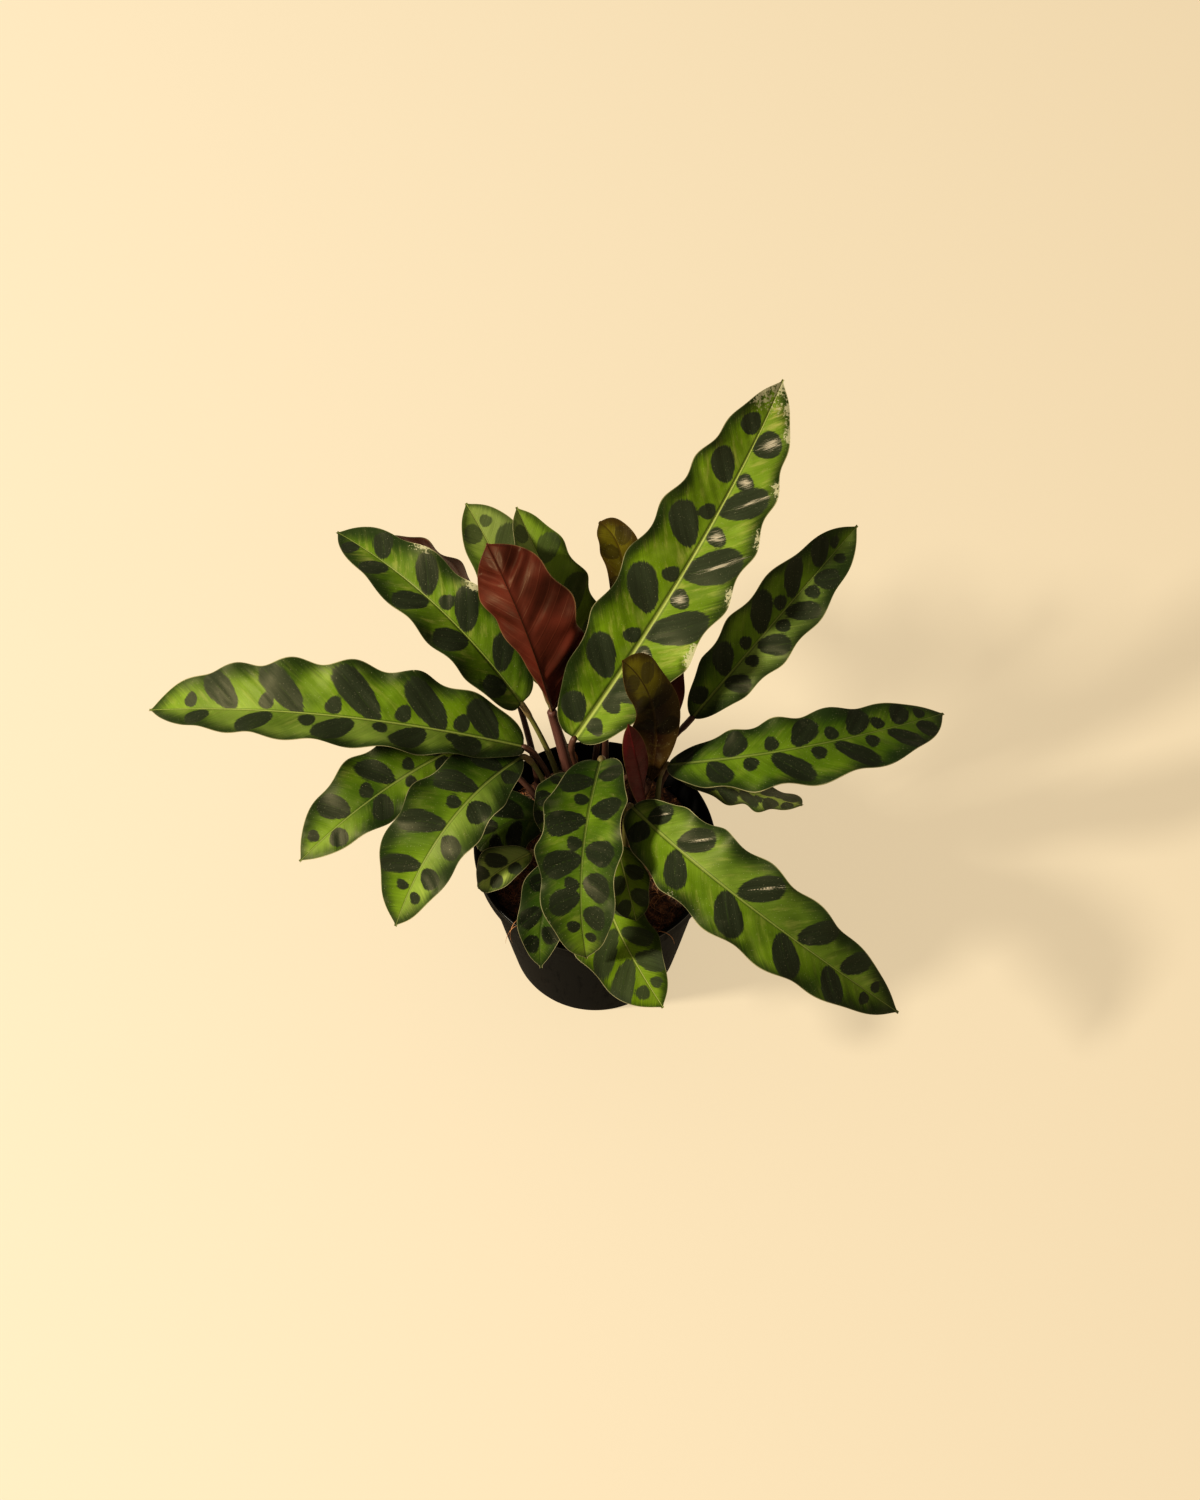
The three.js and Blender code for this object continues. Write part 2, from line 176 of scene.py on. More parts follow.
@dataclass
class Leaf:
    """A leaf. root is where its stalk leaves the soil; base, middle and tip are points of the blade's midrib.

    roll turns the blade about its midrib and fold lifts both halves from it, in degrees. waves is how many
    waves a margin has. fullest is where along the blade it is widest, and a small point makes a blunt tip.
    bias makes the right half wider than the left, and skew makes it widest nearer to the tip.

    left and right give where each half's large marks leave the midrib, and the dots where its small ones do,
    as shares of its length. slant is the angle between the midrib and a side vein, in degrees. mark_size is
    how large the marks of the left and the right half are, and mark_length how long the large ones are.
    glint_scars are the places of the marks with a silver streak, partly scarring and partly a painted glint.

    tone is 0 for an old, dark leaf and 1 for a fresh, yellow-green one, and above 1 its marks fade. Each
    leaf's tone is also set as painted light and shade: higher where the leaf is to look more lit, and lower
    where it is to look more shaded, than the lamps make it. dark_base is how far the tone falls from there to
    the base.
    painted_sheen is a painted sheen: how pale and grey the green of each half is made. wear is how much of the
    leaf is scuffed, and on the right half's wave crests also how strong a painted highlight is, and tip_wear
    how much its tip is. rib_width and quilt are how wide the midrib and how deep the relief between the side
    veins are, as shares of the usual, and quilt_step is how far apart that relief's ridges are.

    skin is "green" or "young", and stalk is "olive", "purple" or "sheath". stalk_radius is the stalk's radius
    at its foot, and stalk_top_radius the one under the blade.
    """

    root: tuple
    base: tuple
    middle: tuple
    tip: tuple
    width: float
    waves: float
    fullest: float
    point: float
    bias: float = 0
    skew: float = 0
    roll: float = 0
    fold: float = 6
    left: tuple = (0.12, 0.3, 0.48, 0.66, 0.82)
    right: tuple = (0.15, 0.34, 0.52, 0.7, 0.85)
    left_dots: tuple = (0.22, 0.4, 0.58, 0.75)
    right_dots: tuple = (0.25, 0.43, 0.62)
    slant: float = 44
    mark_size: tuple = (1, 1)
    mark_length: tuple = (1, 1)
    glint_scars: tuple = ()
    tone: float = 0.6
    dark_base: float = 0
    painted_sheen: tuple = (0, 0)
    wear: float = 0.3
    tip_wear: float = 0
    rib_width: float = 0.8
    quilt: float = 1
    quilt_step: float = QUILT_STEP
    skin: str = "green"
    stalk: str = "olive"
    stalk_radius: float = STALK_FOOT_RADIUS
    stalk_top_radius: float = STALK_TOP_RADIUS


# Each leaf's tone and the paleness of each of its halves are set partly as painted light and shade.
LEAVES = {
    "tall_right": Leaf(
        root=(-3, 27), base=(-10, 33, 145), middle=(49, 92, 223), tip=(90, 158, 270),
        width=56, bias=-0.08, roll=-32, fold=15, waves=7, fullest=0.39, point=0.62,
        left=(0.03, 0.165, 0.355, 0.54, 0.715, 0.845), left_dots=(0.28, 0.455, 0.625),
        right=(0.145, 0.315, 0.485, 0.655, 0.815), right_dots=(0.035, 0.105, 0.25, 0.41, 0.58, 0.725),
        mark_size=(1.1, 1.25), mark_length=(0.84, 1.12), glint_scars=(0.25, 0.41, 0.485, 0.58, 0.655, 0.725, 0.815),
        tone=0.85, painted_sheen=(0, 0.03), wear=1.2, tip_wear=0.9, rib_width=1.25, stalk="purple",
    ),
    "back_right": Leaf(
        root=(18, 27), base=(48, 51, 135), middle=(87, 79, 178), tip=(128, 121, 200),
        width=37, bias=-0.12, roll=-38, fold=18, waves=4.5, fullest=0.5, point=0.6,
        left=(0.06, 0.22, 0.44, 0.62, 0.77), left_dots=(0.35, 0.55, 0.86),
        right=(0.19, 0.39, 0.56, 0.72), right_dots=(0.31, 0.49, 0.66, 0.83), tone=0.45,
        painted_sheen=(0, 0.1), stalk="purple",
    ),
    "right": Leaf(
        root=(31, 12), base=(36, 27, 130), middle=(101, 22, 155), tip=(172, 55, 132),
        width=39, bias=0.1, fold=4, waves=5, fullest=0.52, point=0.45,
        left=(0.03, 0.2, 0.43, 0.62, 0.79), left_dots=(0.34, 0.54, 0.71, 0.88),
        right=(0.15, 0.36, 0.56, 0.75, 0.86), right_dots=(0.27, 0.48, 0.66),
        mark_size=(1.2, 1.05), tone=0.25,
    ),
    "right_low": Leaf(
        root=(30, 19), base=(38, 31, 118), middle=(74, 14, 127), tip=(102, 12, 116),
        width=28, roll=-90, fold=6, waves=3, fullest=0.42, point=0.6, tone=0.9,
        painted_sheen=(0.15, 0.15), stalk="purple",
    ),
    "front_right": Leaf(
        root=(15, -4), base=(18, -4, 142), middle=(70, -61, 152), tip=(147, -89, 90),
        width=43, roll=-18, fold=8, waves=6, fullest=0.48, point=0.5,
        left=(0.07, 0.2, 0.41, 0.61, 0.76), left_dots=(0.87,),
        right=(0.06, 0.21, 0.38, 0.56, 0.72), right_dots=(0.85,), mark_size=(1.1, 1.15),
        glint_scars=(0.07, 0.2, 0.41), tone=0.48, painted_sheen=(0.04, 0), wear=0.6,
    ),
    "front": Leaf(
        root=(1, 3), base=(3, 22, 142), middle=(-6, -42, 154), tip=(-4, -73, 116),
        width=44, roll=-16, fold=18, waves=4, fullest=0.4, point=0.58,
        left=(0.1, 0.3, 0.5, 0.63, 0.755), left_dots=(0.86,),
        right=(0.14, 0.36, 0.54, 0.69), right_dots=(0.25, 0.47, 0.64, 0.81), slant=66,
        mark_size=(1.1, 1.15), mark_length=(0.92, 1), tone=0.25, wear=0.5,
        stalk_radius=2.3, stalk_top_radius=1.5,
    ),
    "front_left_narrow": Leaf(
        root=(-8, -14), base=(-10, -14, 118), middle=(-24, -45, 118), tip=(-26, -72, 104),
        width=26, fold=6, waves=2.5, fullest=0.45, point=0.75,
        left=(0.2, 0.45, 0.68), right=(0.28, 0.55, 0.76), left_dots=(), right_dots=(), tone=0.0,
    ),
    "front_low": Leaf(
        root=(2, -12), base=(4, -22, 103), middle=(11, -52, 107), tip=(33, -90, 97),
        width=40, bias=0.2, fold=6, waves=3, fullest=0.55, point=0.55,
        left=(0.2, 0.42, 0.61), left_dots=(0.79,), right=(0.4, 0.62), right_dots=(0.8,), tone=1.2,
    ),
    "front_short": Leaf(
        root=(10, -8), base=(11, -14, 120), middle=(15, -33, 122), tip=(20, -52, 115),
        width=22, fold=6, waves=2, fullest=0.5, point=0.45,
        left=(0.3, 0.62), right=(0.42, 0.72), left_dots=(), right_dots=(), tone=1.2,
    ),
    "left_front": Leaf(
        root=(-17, 8), base=(-36, 25, 140), middle=(-71, -19, 150), tip=(-97, -49, 104),
        width=41, bias=0.18, roll=8, fold=8, waves=4, fullest=0.5, point=0.6,
        left=(0.12, 0.34, 0.52, 0.68), left_dots=(0.8,),
        right=(0.13, 0.29, 0.49, 0.68), right_dots=(0.38, 0.78), slant=62, mark_size=(1.1, 0.95),
        mark_length=(0.85, 1.05), tone=0.4, painted_sheen=(0.06, 0),
    ),
    "left_low": Leaf(
        root=(-24, 18), base=(-67, 42, 122), middle=(-107, 13, 124), tip=(-145, -13, 104),
        width=37, bias=0.18, roll=10, fold=6, waves=3.5, fullest=0.45, point=0.7,
        left=(0.1, 0.47, 0.74), left_dots=(0.3,), right=(0.1, 0.38, 0.65), right_dots=(0.26, 0.5, 0.84),
        slant=58, mark_size=(1.05, 1.1), tone=0.4, stalk="purple",
    ),
    "left_long": Leaf(
        root=(-16, 14), base=(-35, 31, 140), middle=(-128, 32, 168), tip=(-219, 52, 140),
        width=48, bias=0.1, roll=4, fold=26, waves=6.5, fullest=0.45, point=0.52,
        left=(0.12, 0.26, 0.437, 0.636, 0.805), left_dots=(0.17, 0.355, 0.53),
        right=(0.075, 0.213, 0.38, 0.57, 0.74), right_dots=(0.15, 0.3, 0.47, 0.64, 0.85),
        mark_size=(1.2, 1.15), mark_length=(1, 1.08), tone=0.6, painted_sheen=(0.08, 0), wear=0.5,
        stalk="purple",
    ),
    "back_left": Leaf(
        root=(-15, 24), base=(-36, 48, 153), middle=(-78, 82, 190), tip=(-127, 129, 182),
        width=38, bias=0.05, roll=5, fold=18, waves=4.5, fullest=0.4, point=0.52,
        left=(0.08, 0.3, 0.5, 0.7, 0.86), left_dots=(), mark_size=(1.1, 1.1),
        right=(0.14, 0.33, 0.52, 0.74), right_dots=(0.43,), tone=0.45, wear=1.0,
    ),
    "back_left_hidden": Leaf(
        root=(-28, 32), base=(-52, 92, 160), middle=(-71, 116, 168), tip=(-104, 138, 165),
        width=32, roll=-78, fold=6, waves=3, fullest=0.42, point=0.75, tone=0, wear=0, stalk="purple",
    ),
    "back_tall": Leaf(
        root=(-9, 31), base=(-25, 62, 146), middle=(-41, 97, 178), tip=(-63, 130, 206),
        width=33, bias=0.13, roll=3, fold=10, waves=3.5, fullest=0.55, point=0.5,
        left=(0.12, 0.42, 0.8), left_dots=(), right=(0.2, 0.42, 0.66), right_dots=(0.84,),
        mark_size=(1.15, 1.15), tone=1.35, painted_sheen=(0.14, 0.18),
    ),
    "back_middle": Leaf(
        root=(-1, 37), base=(1, 65, 153), middle=(-21, 91, 193), tip=(-38, 119, 219),
        width=36, bias=-0.05, roll=-12, fold=20, waves=4, fullest=0.4, point=0.68,
        left_dots=(), right=(0.14, 0.38, 0.68), right_dots=(), mark_size=(1, 1.2), mark_length=(1, 1.2),
        tone=1.4, painted_sheen=(0.15, 0.04), stalk="purple",
    ),
    "maroon_back": Leaf(
        root=(-10, 20), base=(-21, 45, 150), middle=(-33, 60, 200), tip=(-52, 96, 222),
        width=44, bias=-0.18, skew=0.14, roll=214, fold=20, waves=3.5, fullest=0.62, point=0.5,
        quilt=8, quilt_step=17, stalk="sheath", stalk_radius=3.2, stalk_top_radius=2.5,
    ),
    "back_small": Leaf(
        root=(5, 34), base=(10, 79, 180), middle=(13, 100, 202), tip=(2, 115, 212),
        width=19, fold=8, waves=1.5, fullest=0.65, point=0.4,
        left=(0.3, 0.6), right=(0.4, 0.7), left_dots=(), right_dots=(), tone=0.6, dark_base=0.4,
        skin="young", stalk="purple",
    ),
    "young": Leaf(
        root=(20, 16), base=(27, 25, 118), middle=(28, 32, 174), tip=(13, 39, 207),
        width=26, roll=10, fold=10, waves=2, fullest=0.6, point=0.4,
        left=(0.45, 0.65, 0.82), right=(0.4, 0.6, 0.78), left_dots=(), right_dots=(), tone=1.0, dark_base=1.5,
        skin="young", stalk="purple",
    ),
    "young_rolled": Leaf(
        root=(26, 10), base=(25, 13, 113), middle=(21, 14, 149), tip=(16, 20, 180),
        width=16, roll=190, fold=4, waves=1, fullest=0.35, point=0.6, skin="young", stalk="purple",
    ),
    "behind_tall": Leaf(
        root=(10, 31), base=(30, 38, 130), middle=(34, 58, 148), tip=(41, 86, 164),
        width=20, roll=165, fold=6, waves=2, fullest=0.42, point=0.75, stalk="purple",
    ),
    "left_short": Leaf(
        root=(-20, -8), base=(-31, -16, 118), middle=(-44, -27, 123), tip=(-57, -32, 112),
        width=20, bias=0.2, roll=10, fold=4, waves=1.5, fullest=0.6, point=0.4,
        left=(0.3, 0.58), left_dots=(), right=(0.4, 0.7), right_dots=(0.82,),
        tone=0.9, painted_sheen=(0.1, 0.16), wear=0.8,
    ),
    "left_shaded": Leaf(
        root=(-23, 3), base=(-24, 8, 103), middle=(-41, 6, 110), tip=(-57, -6, 103),
        width=34, roll=10, fold=4, waves=2, fullest=0.6, point=0.45,
        left=(0.35, 0.7), right=(0.3, 0.62), left_dots=(), right_dots=(), tone=0.0,
    ),
    "front_curled": Leaf(
        root=(-7, 4), base=(-12, 22, 130), middle=(-20, 4, 138), tip=(-26, -10, 128),
        width=18, fold=10, waves=2, fullest=0.5, point=0.75,
        left=(0.3, 0.6), right=(0.2, 0.5, 0.75), left_dots=(), right_dots=(), tone=0.1,
    ),
}

BRACT = Leaf(
    root=(-13, 44), base=(-13, 44, 88.2), middle=(-12, 46, 104), tip=(-14, 45, 118),
    width=7, fold=20, waves=0, fullest=0.35, point=0.8, left=(), right=(), left_dots=(), right_dots=(),
)


# Trees of nodes


class Nodes:
    """Adds nodes to one tree and joins them."""

    def __init__(self, tree):
        self.tree = tree

    def add(self, kind, inputs=None, **settings):
        node = self.tree.nodes.new(kind)
        for name, value in settings.items():
            setattr(node, name, value)
        for key, value in (inputs or {}).items():
            if isinstance(value, bpy.types.NodeSocket):
                self.tree.links.new(value, node.inputs[key])
            else:
                node.inputs[key].default_value = value
        return node

    def math(self, operation, first, second=0.0, clamp=False):
        node = self.add("ShaderNodeMath", {0: first, 1: second}, operation=operation, use_clamp=clamp)
        return node.outputs[0]

    def plus(self, first, second, clamp=False):
        return self.math("ADD", first, second, clamp)

    def minus(self, first, second):
        return self.math("SUBTRACT", first, second)

    def times(self, first, second, clamp=False):
        return self.math("MULTIPLY", first, second, clamp)

    def fade(self, value, low, high):
        """0 up to low, 1 from high, and smooth between them."""
        inputs = {"Value": value, "From Min": low, "From Max": high}
        return self.add("ShaderNodeMapRange", inputs, interpolation_type="SMOOTHSTEP").outputs[0]

    def blend(self, share, first, second):
        inputs = {0: share, 6: first, 7: second}
        return self.add("ShaderNodeMix", inputs, data_type="RGBA").outputs[2]

    def brighten(self, colour, value):
        return self.add("ShaderNodeHueSaturation", {"Color": colour, "Value": value}).outputs[0]

    def noise(self, vector, scale, detail=3.0, roughness=0.5):
        inputs = {"Vector": vector, "Scale": scale, "Detail": detail, "Roughness": roughness}
        return self.add("ShaderNodeTexNoise", inputs).outputs[0]

    def vector(self, x, y, z=0.0):
        return self.add("ShaderNodeCombineXYZ", {0: x, 1: y, 2: z}).outputs[0]


def socket_kind(value):
    if value == "vector":
        return "NodeSocketVector"
    if isinstance(value, tuple):
        return "NodeSocketColor"
    return "NodeSocketFloat"


def new_group(name, inputs, outputs):
    """A shader node group: its nodes, its inputs by name, and its output node."""
    tree = bpy.data.node_groups.new(name, "ShaderNodeTree")
    for label, value in inputs.items():
        socket = tree.interface.new_socket(label, in_out="INPUT", socket_type=socket_kind(value))
        if value != "vector":
            socket.default_value = value
    for label, value in outputs.items():
        tree.interface.new_socket(label, in_out="OUTPUT", socket_type=socket_kind(value))
    nodes = Nodes(tree)
    return nodes, nodes.add("NodeGroupInput").outputs, nodes.add("NodeGroupOutput").inputs


LOOKS = {"Color": (0, 0, 0, 1), "Roughness": 0.5, "Height": 0.0}


def blade_pattern_group():
    """The upper side: green between dark marks, a pale midrib, and a dark band inside a pale margin."""
    nodes, given, result = new_group(
        "blade pattern",
        {
            "Place": "vector", "Mark": 0.0, "Main vein": 0.0, "Side vein": 0.0, "Out": 0.0,
            "Rib": 0.0, "Margin": 0.0, "Tone": 0.5, "Wear": 0.3, "Scarring and glint": 9.0, "Painted sheen": 0.0,
            "Old green": (0.026, 0.058, 0.004, 1), "Fresh green": (0.126, 0.21, 0.006, 1),
            "Pale green": (0.21, 0.31, 0.03, 1), "Mark colour": (0.015, 0.024, 0.011, 1),
            "Band colour": (0.011, 0.022, 0.006, 1), "Rib colour": (0.3, 0.35, 0.09, 1),
            "Margin colour": (0.34, 0.31, 0.17, 1), "Wear and sheen colour": (0.42, 0.4, 0.26, 1),
            "Scarring and glint colour": (0.55, 0.49, 0.38, 1), "Patch colour": (0.42, 0.4, 0.12, 1), "Mark strength": 1.0,
        },
        LOOKS,
    )
    # Noise that runs along the side veins, and even noise
    along_veins = nodes.vector(nodes.times(given["Side vein"], 1.3), nodes.times(given["Out"], 0.07))
    streak = nodes.noise(along_veins, 1.0)
    lines = nodes.vector(nodes.times(given["Side vein"], 4.0), nodes.times(given["Out"], 0.2))
    fine = nodes.noise(lines, 1.0, detail=1.0)
    grain = nodes.noise(given["Place"], 260.0)
    cloud = nodes.noise(given["Place"], 34.0, detail=2.0)
    out = nodes.math("ABSOLUTE", given["Out"])

    # The green between the marks
    mottle = nodes.times(nodes.minus(cloud, 0.5), 1.6)
    tone = nodes.plus(given["Tone"], mottle, clamp=True)
    green = nodes.blend(tone, given["Old green"], given["Fresh green"])
    near_rib = nodes.times(nodes.minus(1.0, nodes.fade(out, 0.0, 9.0)), 0.45)
    # Pale patches at random: partly paler tissue, partly a painted sheen
    pale_and_sheen_patch = nodes.times(nodes.fade(nodes.noise(given["Place"], 60.0, detail=2.0), 0.5, 0.72), 0.55)
    pale = nodes.times(nodes.math("MAXIMUM", near_rib, pale_and_sheen_patch), tone)
    green = nodes.blend(pale, green, given["Pale green"])
    broad = nodes.vector(nodes.times(given["Side vein"], 0.2), nodes.times(given["Out"], 0.09))
    rubbed = nodes.fade(nodes.noise(broad, 1.0, detail=5.0, roughness=0.6), 0.5, 0.7)
    rubbed = nodes.times(rubbed, nodes.times(given["Wear"], 0.9, clamp=True))
    green = nodes.blend(rubbed, green, given["Patch colour"])
    # A painted sheen: the green of each half is paled and greyed by its own amount
    painted_sheen = nodes.times(given["Painted sheen"], nodes.plus(nodes.fade(cloud, 0.3, 0.7), 0.5))
    green = nodes.blend(painted_sheen, green, given["Wear and sheen colour"])
    green = nodes.brighten(green, nodes.plus(nodes.times(streak, 0.5), 0.75))

    # The dark band inside the margin
    ragged = nodes.plus(given["Margin"], nodes.times(nodes.minus(streak, 0.5), 5.0))
    ragged = nodes.plus(ragged, nodes.times(nodes.minus(cloud, 0.5), 14.0))
    faded = nodes.minus(1.0, nodes.times(nodes.fade(given["Tone"], 1.0, 2.0), 0.8))
    band_width = nodes.minus(12.5, nodes.times(given["Tone"], 4.0))
    band = nodes.times(nodes.minus(1.0, nodes.fade(ragged, 0.5, band_width)), 0.9)
    band = nodes.times(band, faded)
    green = nodes.blend(band, green, given["Band colour"])

    # The dark marks
    shift = nodes.times(nodes.minus(streak, 0.5), 1.6)
    shift = nodes.plus(shift, nodes.minus(grain, 0.5))
    inside = nodes.fade(nodes.plus(given["Mark"], shift), -0.4, 0.4)
    mark = nodes.times(nodes.minus(1.0, inside), given["Mark strength"])
    mark = nodes.times(mark, faded)
    wavering = nodes.plus(given["Main vein"], nodes.times(nodes.minus(grain, 0.5), 0.5))
    vein = nodes.times(nodes.minus(1.0, nodes.fade(wavering, 0.1, 0.4)), 0.35)
    darkness = nodes.plus(nodes.times(given["Tone"], 0.8), 0.45)
    darkness = nodes.times(darkness, nodes.plus(nodes.times(streak, 1.2), 0.4))
    dark = nodes.brighten(given["Mark colour"], darkness)
    dark = nodes.blend(vein, dark, given["Old green"])
    colour = nodes.blend(mark, green, dark)

    # The midrib and the thin pale margin
    flank = nodes.minus(1.0, nodes.fade(given["Rib"], 1.2, 2.0))
    colour = nodes.blend(nodes.times(flank, 0.45), colour, given["Band colour"])
    rib = nodes.minus(1.0, nodes.fade(given["Rib"], 0.6, 1.0))
    paleness = nodes.plus(nodes.times(given["Tone"], 0.85), 0.05, clamp=True)
    colour = nodes.blend(nodes.times(rib, paleness), colour, given["Rib colour"])
    edge = nodes.minus(1.0, nodes.fade(given["Margin"], 0.2, 0.5))
    edge = nodes.times(edge, nodes.plus(nodes.fade(cloud, 0.35, 0.6), 0.25, clamp=True))
    colour = nodes.blend(nodes.times(edge, 0.7), colour, given["Margin colour"])

    # Scuffs, a pale film that is partly dust and partly a painted sheen, a painted sheen on the marks, specks,
    # and silver scarring that is partly a painted glint
    scratched = nodes.times(nodes.noise(given["Place"], 700.0, detail=4.0, roughness=0.7), 0.6)
    scratched = nodes.plus(scratched, nodes.times(nodes.noise(given["Place"], 90.0), 0.4))
    bare = nodes.minus(0.74, nodes.times(given["Wear"], 0.24))
    scuff = nodes.fade(nodes.minus(scratched, bare), 0.0, 0.06)
    # A pale film, partly dust and partly a painted sheen
    film = nodes.times(nodes.fade(nodes.noise(given["Place"], 75.0, detail=5.0), 0.58, 0.78), 0.06)
    # A painted sheen on the marks, stronger on fresher leaves
    sheen = nodes.times(mark, nodes.times(given["Tone"], 0.035))
    film = nodes.math("MAXIMUM", film, sheen)
    # Real scuffs and specks, together with the painted sheen, pale the colour here
    worn = nodes.math("MAXIMUM", film, nodes.times(scuff, 0.8))
    speck = nodes.fade(nodes.noise(given["Place"], 1900.0, detail=1.0), 0.7, 0.76)
    worn = nodes.math("MAXIMUM", worn, nodes.times(speck, 0.35))
    colour = nodes.blend(worn, colour, given["Wear and sheen colour"])
    # Silver streaks inside some marks: partly scarring, partly a painted glint where the mark's crease catches
    # the light
    frayed = nodes.plus(given["Scarring and glint"], nodes.times(nodes.minus(fine, 0.45), 4.5))
    glint_scar = nodes.minus(1.0, nodes.fade(frayed, 0.3, 1.4))
    colour = nodes.blend(nodes.times(glint_scar, 0.8), colour, given["Scarring and glint colour"])
    nodes.tree.links.new(colour, result["Color"])

    roughness = nodes.plus(nodes.times(streak, 0.16), 0.36)
    roughness = nodes.plus(roughness, nodes.times(worn, 0.4))
    nodes.tree.links.new(roughness, result["Roughness"])
    height = nodes.plus(nodes.times(streak, 0.6), nodes.times(fine, 0.4))
    height = nodes.plus(height, nodes.times(grain, 0.15))
    nodes.tree.links.new(height, result["Height"])
    return nodes.tree


def underside_group():
    """The underside: maroon flesh with raised side veins and a strong midrib."""
    nodes, given, result = new_group(
        "blade underside",
        {
            "Place": "vector", "Side vein": 0.0, "Out": 0.0, "Rib": 0.0, "Margin": 0.0,
            "Flesh": (0.095, 0.019, 0.011, 1), "Dark flesh": (0.03, 0.006, 0.003, 1),
            "Vein colour": (0.1, 0.028, 0.014, 1), "Rib colour": (0.035, 0.012, 0.006, 1),
            "Margin colour": (0.14, 0.08, 0.035, 1),
        },
        LOOKS,
    )
    along_veins = nodes.vector(nodes.times(given["Side vein"], 0.9), nodes.times(given["Out"], 0.06))
    streak = nodes.noise(along_veins, 1.0)
    cloud = nodes.noise(given["Place"], 40.0, detail=3.0)
    grain = nodes.noise(given["Place"], 420.0)
    colour = nodes.blend(nodes.fade(cloud, 0.3, 0.75), given["Flesh"], given["Dark flesh"])
    colour = nodes.brighten(colour, nodes.plus(nodes.times(streak, 0.5), 0.75))
    step = nodes.math("DIVIDE", given["Side vein"], QUILT_STEP)
    from_vein = nodes.math("ABSOLUTE", nodes.minus(nodes.math("FRACT", step), 0.5))
    vein = nodes.minus(1.0, nodes.fade(from_vein, 0.02, 0.07))
    colour = nodes.blend(nodes.times(vein, 0.25), colour, given["Vein colour"])
    rib = nodes.minus(1.0, nodes.fade(given["Rib"], 0.5, 0.9))
    colour = nodes.blend(nodes.times(rib, 0.8), colour, given["Rib colour"])
    edge = nodes.minus(1.0, nodes.fade(given["Margin"], 0.3, 0.7))
    colour = nodes.blend(nodes.times(edge, 0.7), colour, given["Margin colour"])
    nodes.tree.links.new(colour, result["Color"])
    nodes.tree.links.new(nodes.plus(nodes.times(grain, 0.2), 0.38), result["Roughness"])
    height = nodes.plus(nodes.times(streak, 0.5), nodes.times(vein, 0.5))
    nodes.tree.links.new(nodes.plus(height, nodes.times(grain, 0.2)), result["Height"])
    return nodes.tree


def stalk_skin_group():
    """A stalk's skin: fine lines along it, darker at the foot, and paler at the cushion under the blade."""
    nodes, given, result = new_group(
        "stalk skin",
        {
            "Place": "vector", "Along": 0.0, "Around": 0.0, "Cushion": 0.0,
            "Skin": (0.1, 0.1, 0.025, 1), "Shade": (0.05, 0.022, 0.012, 1),
            "Cushion colour": (0.16, 0.1, 0.05, 1),
        },
        LOOKS,
    )
    turn = nodes.times(given["Around"], 2 * math.pi)
    lines = nodes.vector(
        nodes.times(nodes.math("COSINE", turn), 3.0),
        nodes.times(nodes.math("SINE", turn), 3.0),
        nodes.times(given["Along"], 2.0),
    )
    streak = nodes.noise(lines, 2.2, detail=3.0)
    blush = nodes.noise(given["Place"], 60.0, detail=2.0)
    low = nodes.minus(1.1, given["Along"])
    share = nodes.times(nodes.plus(blush, nodes.times(streak, 0.5)), low)
    colour = nodes.blend(nodes.fade(share, 0.25, 0.75), given["Skin"], given["Shade"])
    colour = nodes.brighten(colour, nodes.plus(nodes.times(streak, 1.1), 0.45))
    colour = nodes.blend(nodes.times(given["Cushion"], 0.7), colour, given["Cushion colour"])
    nodes.tree.links.new(colour, result["Color"])
    nodes.tree.links.new(nodes.plus(nodes.times(streak, 0.25), 0.35), result["Roughness"])
    nodes.tree.links.new(streak, result["Height"])
    return nodes.tree


def crumble_group():
    """Damp peat, bark and fibre: mixed browns with a rough, broken face."""
    nodes, given, result = new_group(
        "crumble",
        {
            "Place": "vector", "Dark": (0.06, 0.03, 0.018, 1), "Warm": (0.3, 0.13, 0.055, 1),
            "Scale": 900.0,
        },
        LOOKS,
    )
    broad = nodes.noise(given["Place"], 260.0, detail=4.0, roughness=0.6)
    grain = nodes.noise(given["Place"], given["Scale"], detail=4.0, roughness=0.65)
    share = nodes.plus(nodes.times(broad, 0.6), nodes.times(grain, 0.4))
    colour = nodes.blend(nodes.fade(share, 0.42, 0.66), given["Dark"], given["Warm"])
    nodes.tree.links.new(colour, result["Color"])
    nodes.tree.links.new(nodes.plus(nodes.times(grain, 0.3), 0.7), result["Roughness"])
    nodes.tree.links.new(grain, result["Height"])
    return nodes.tree


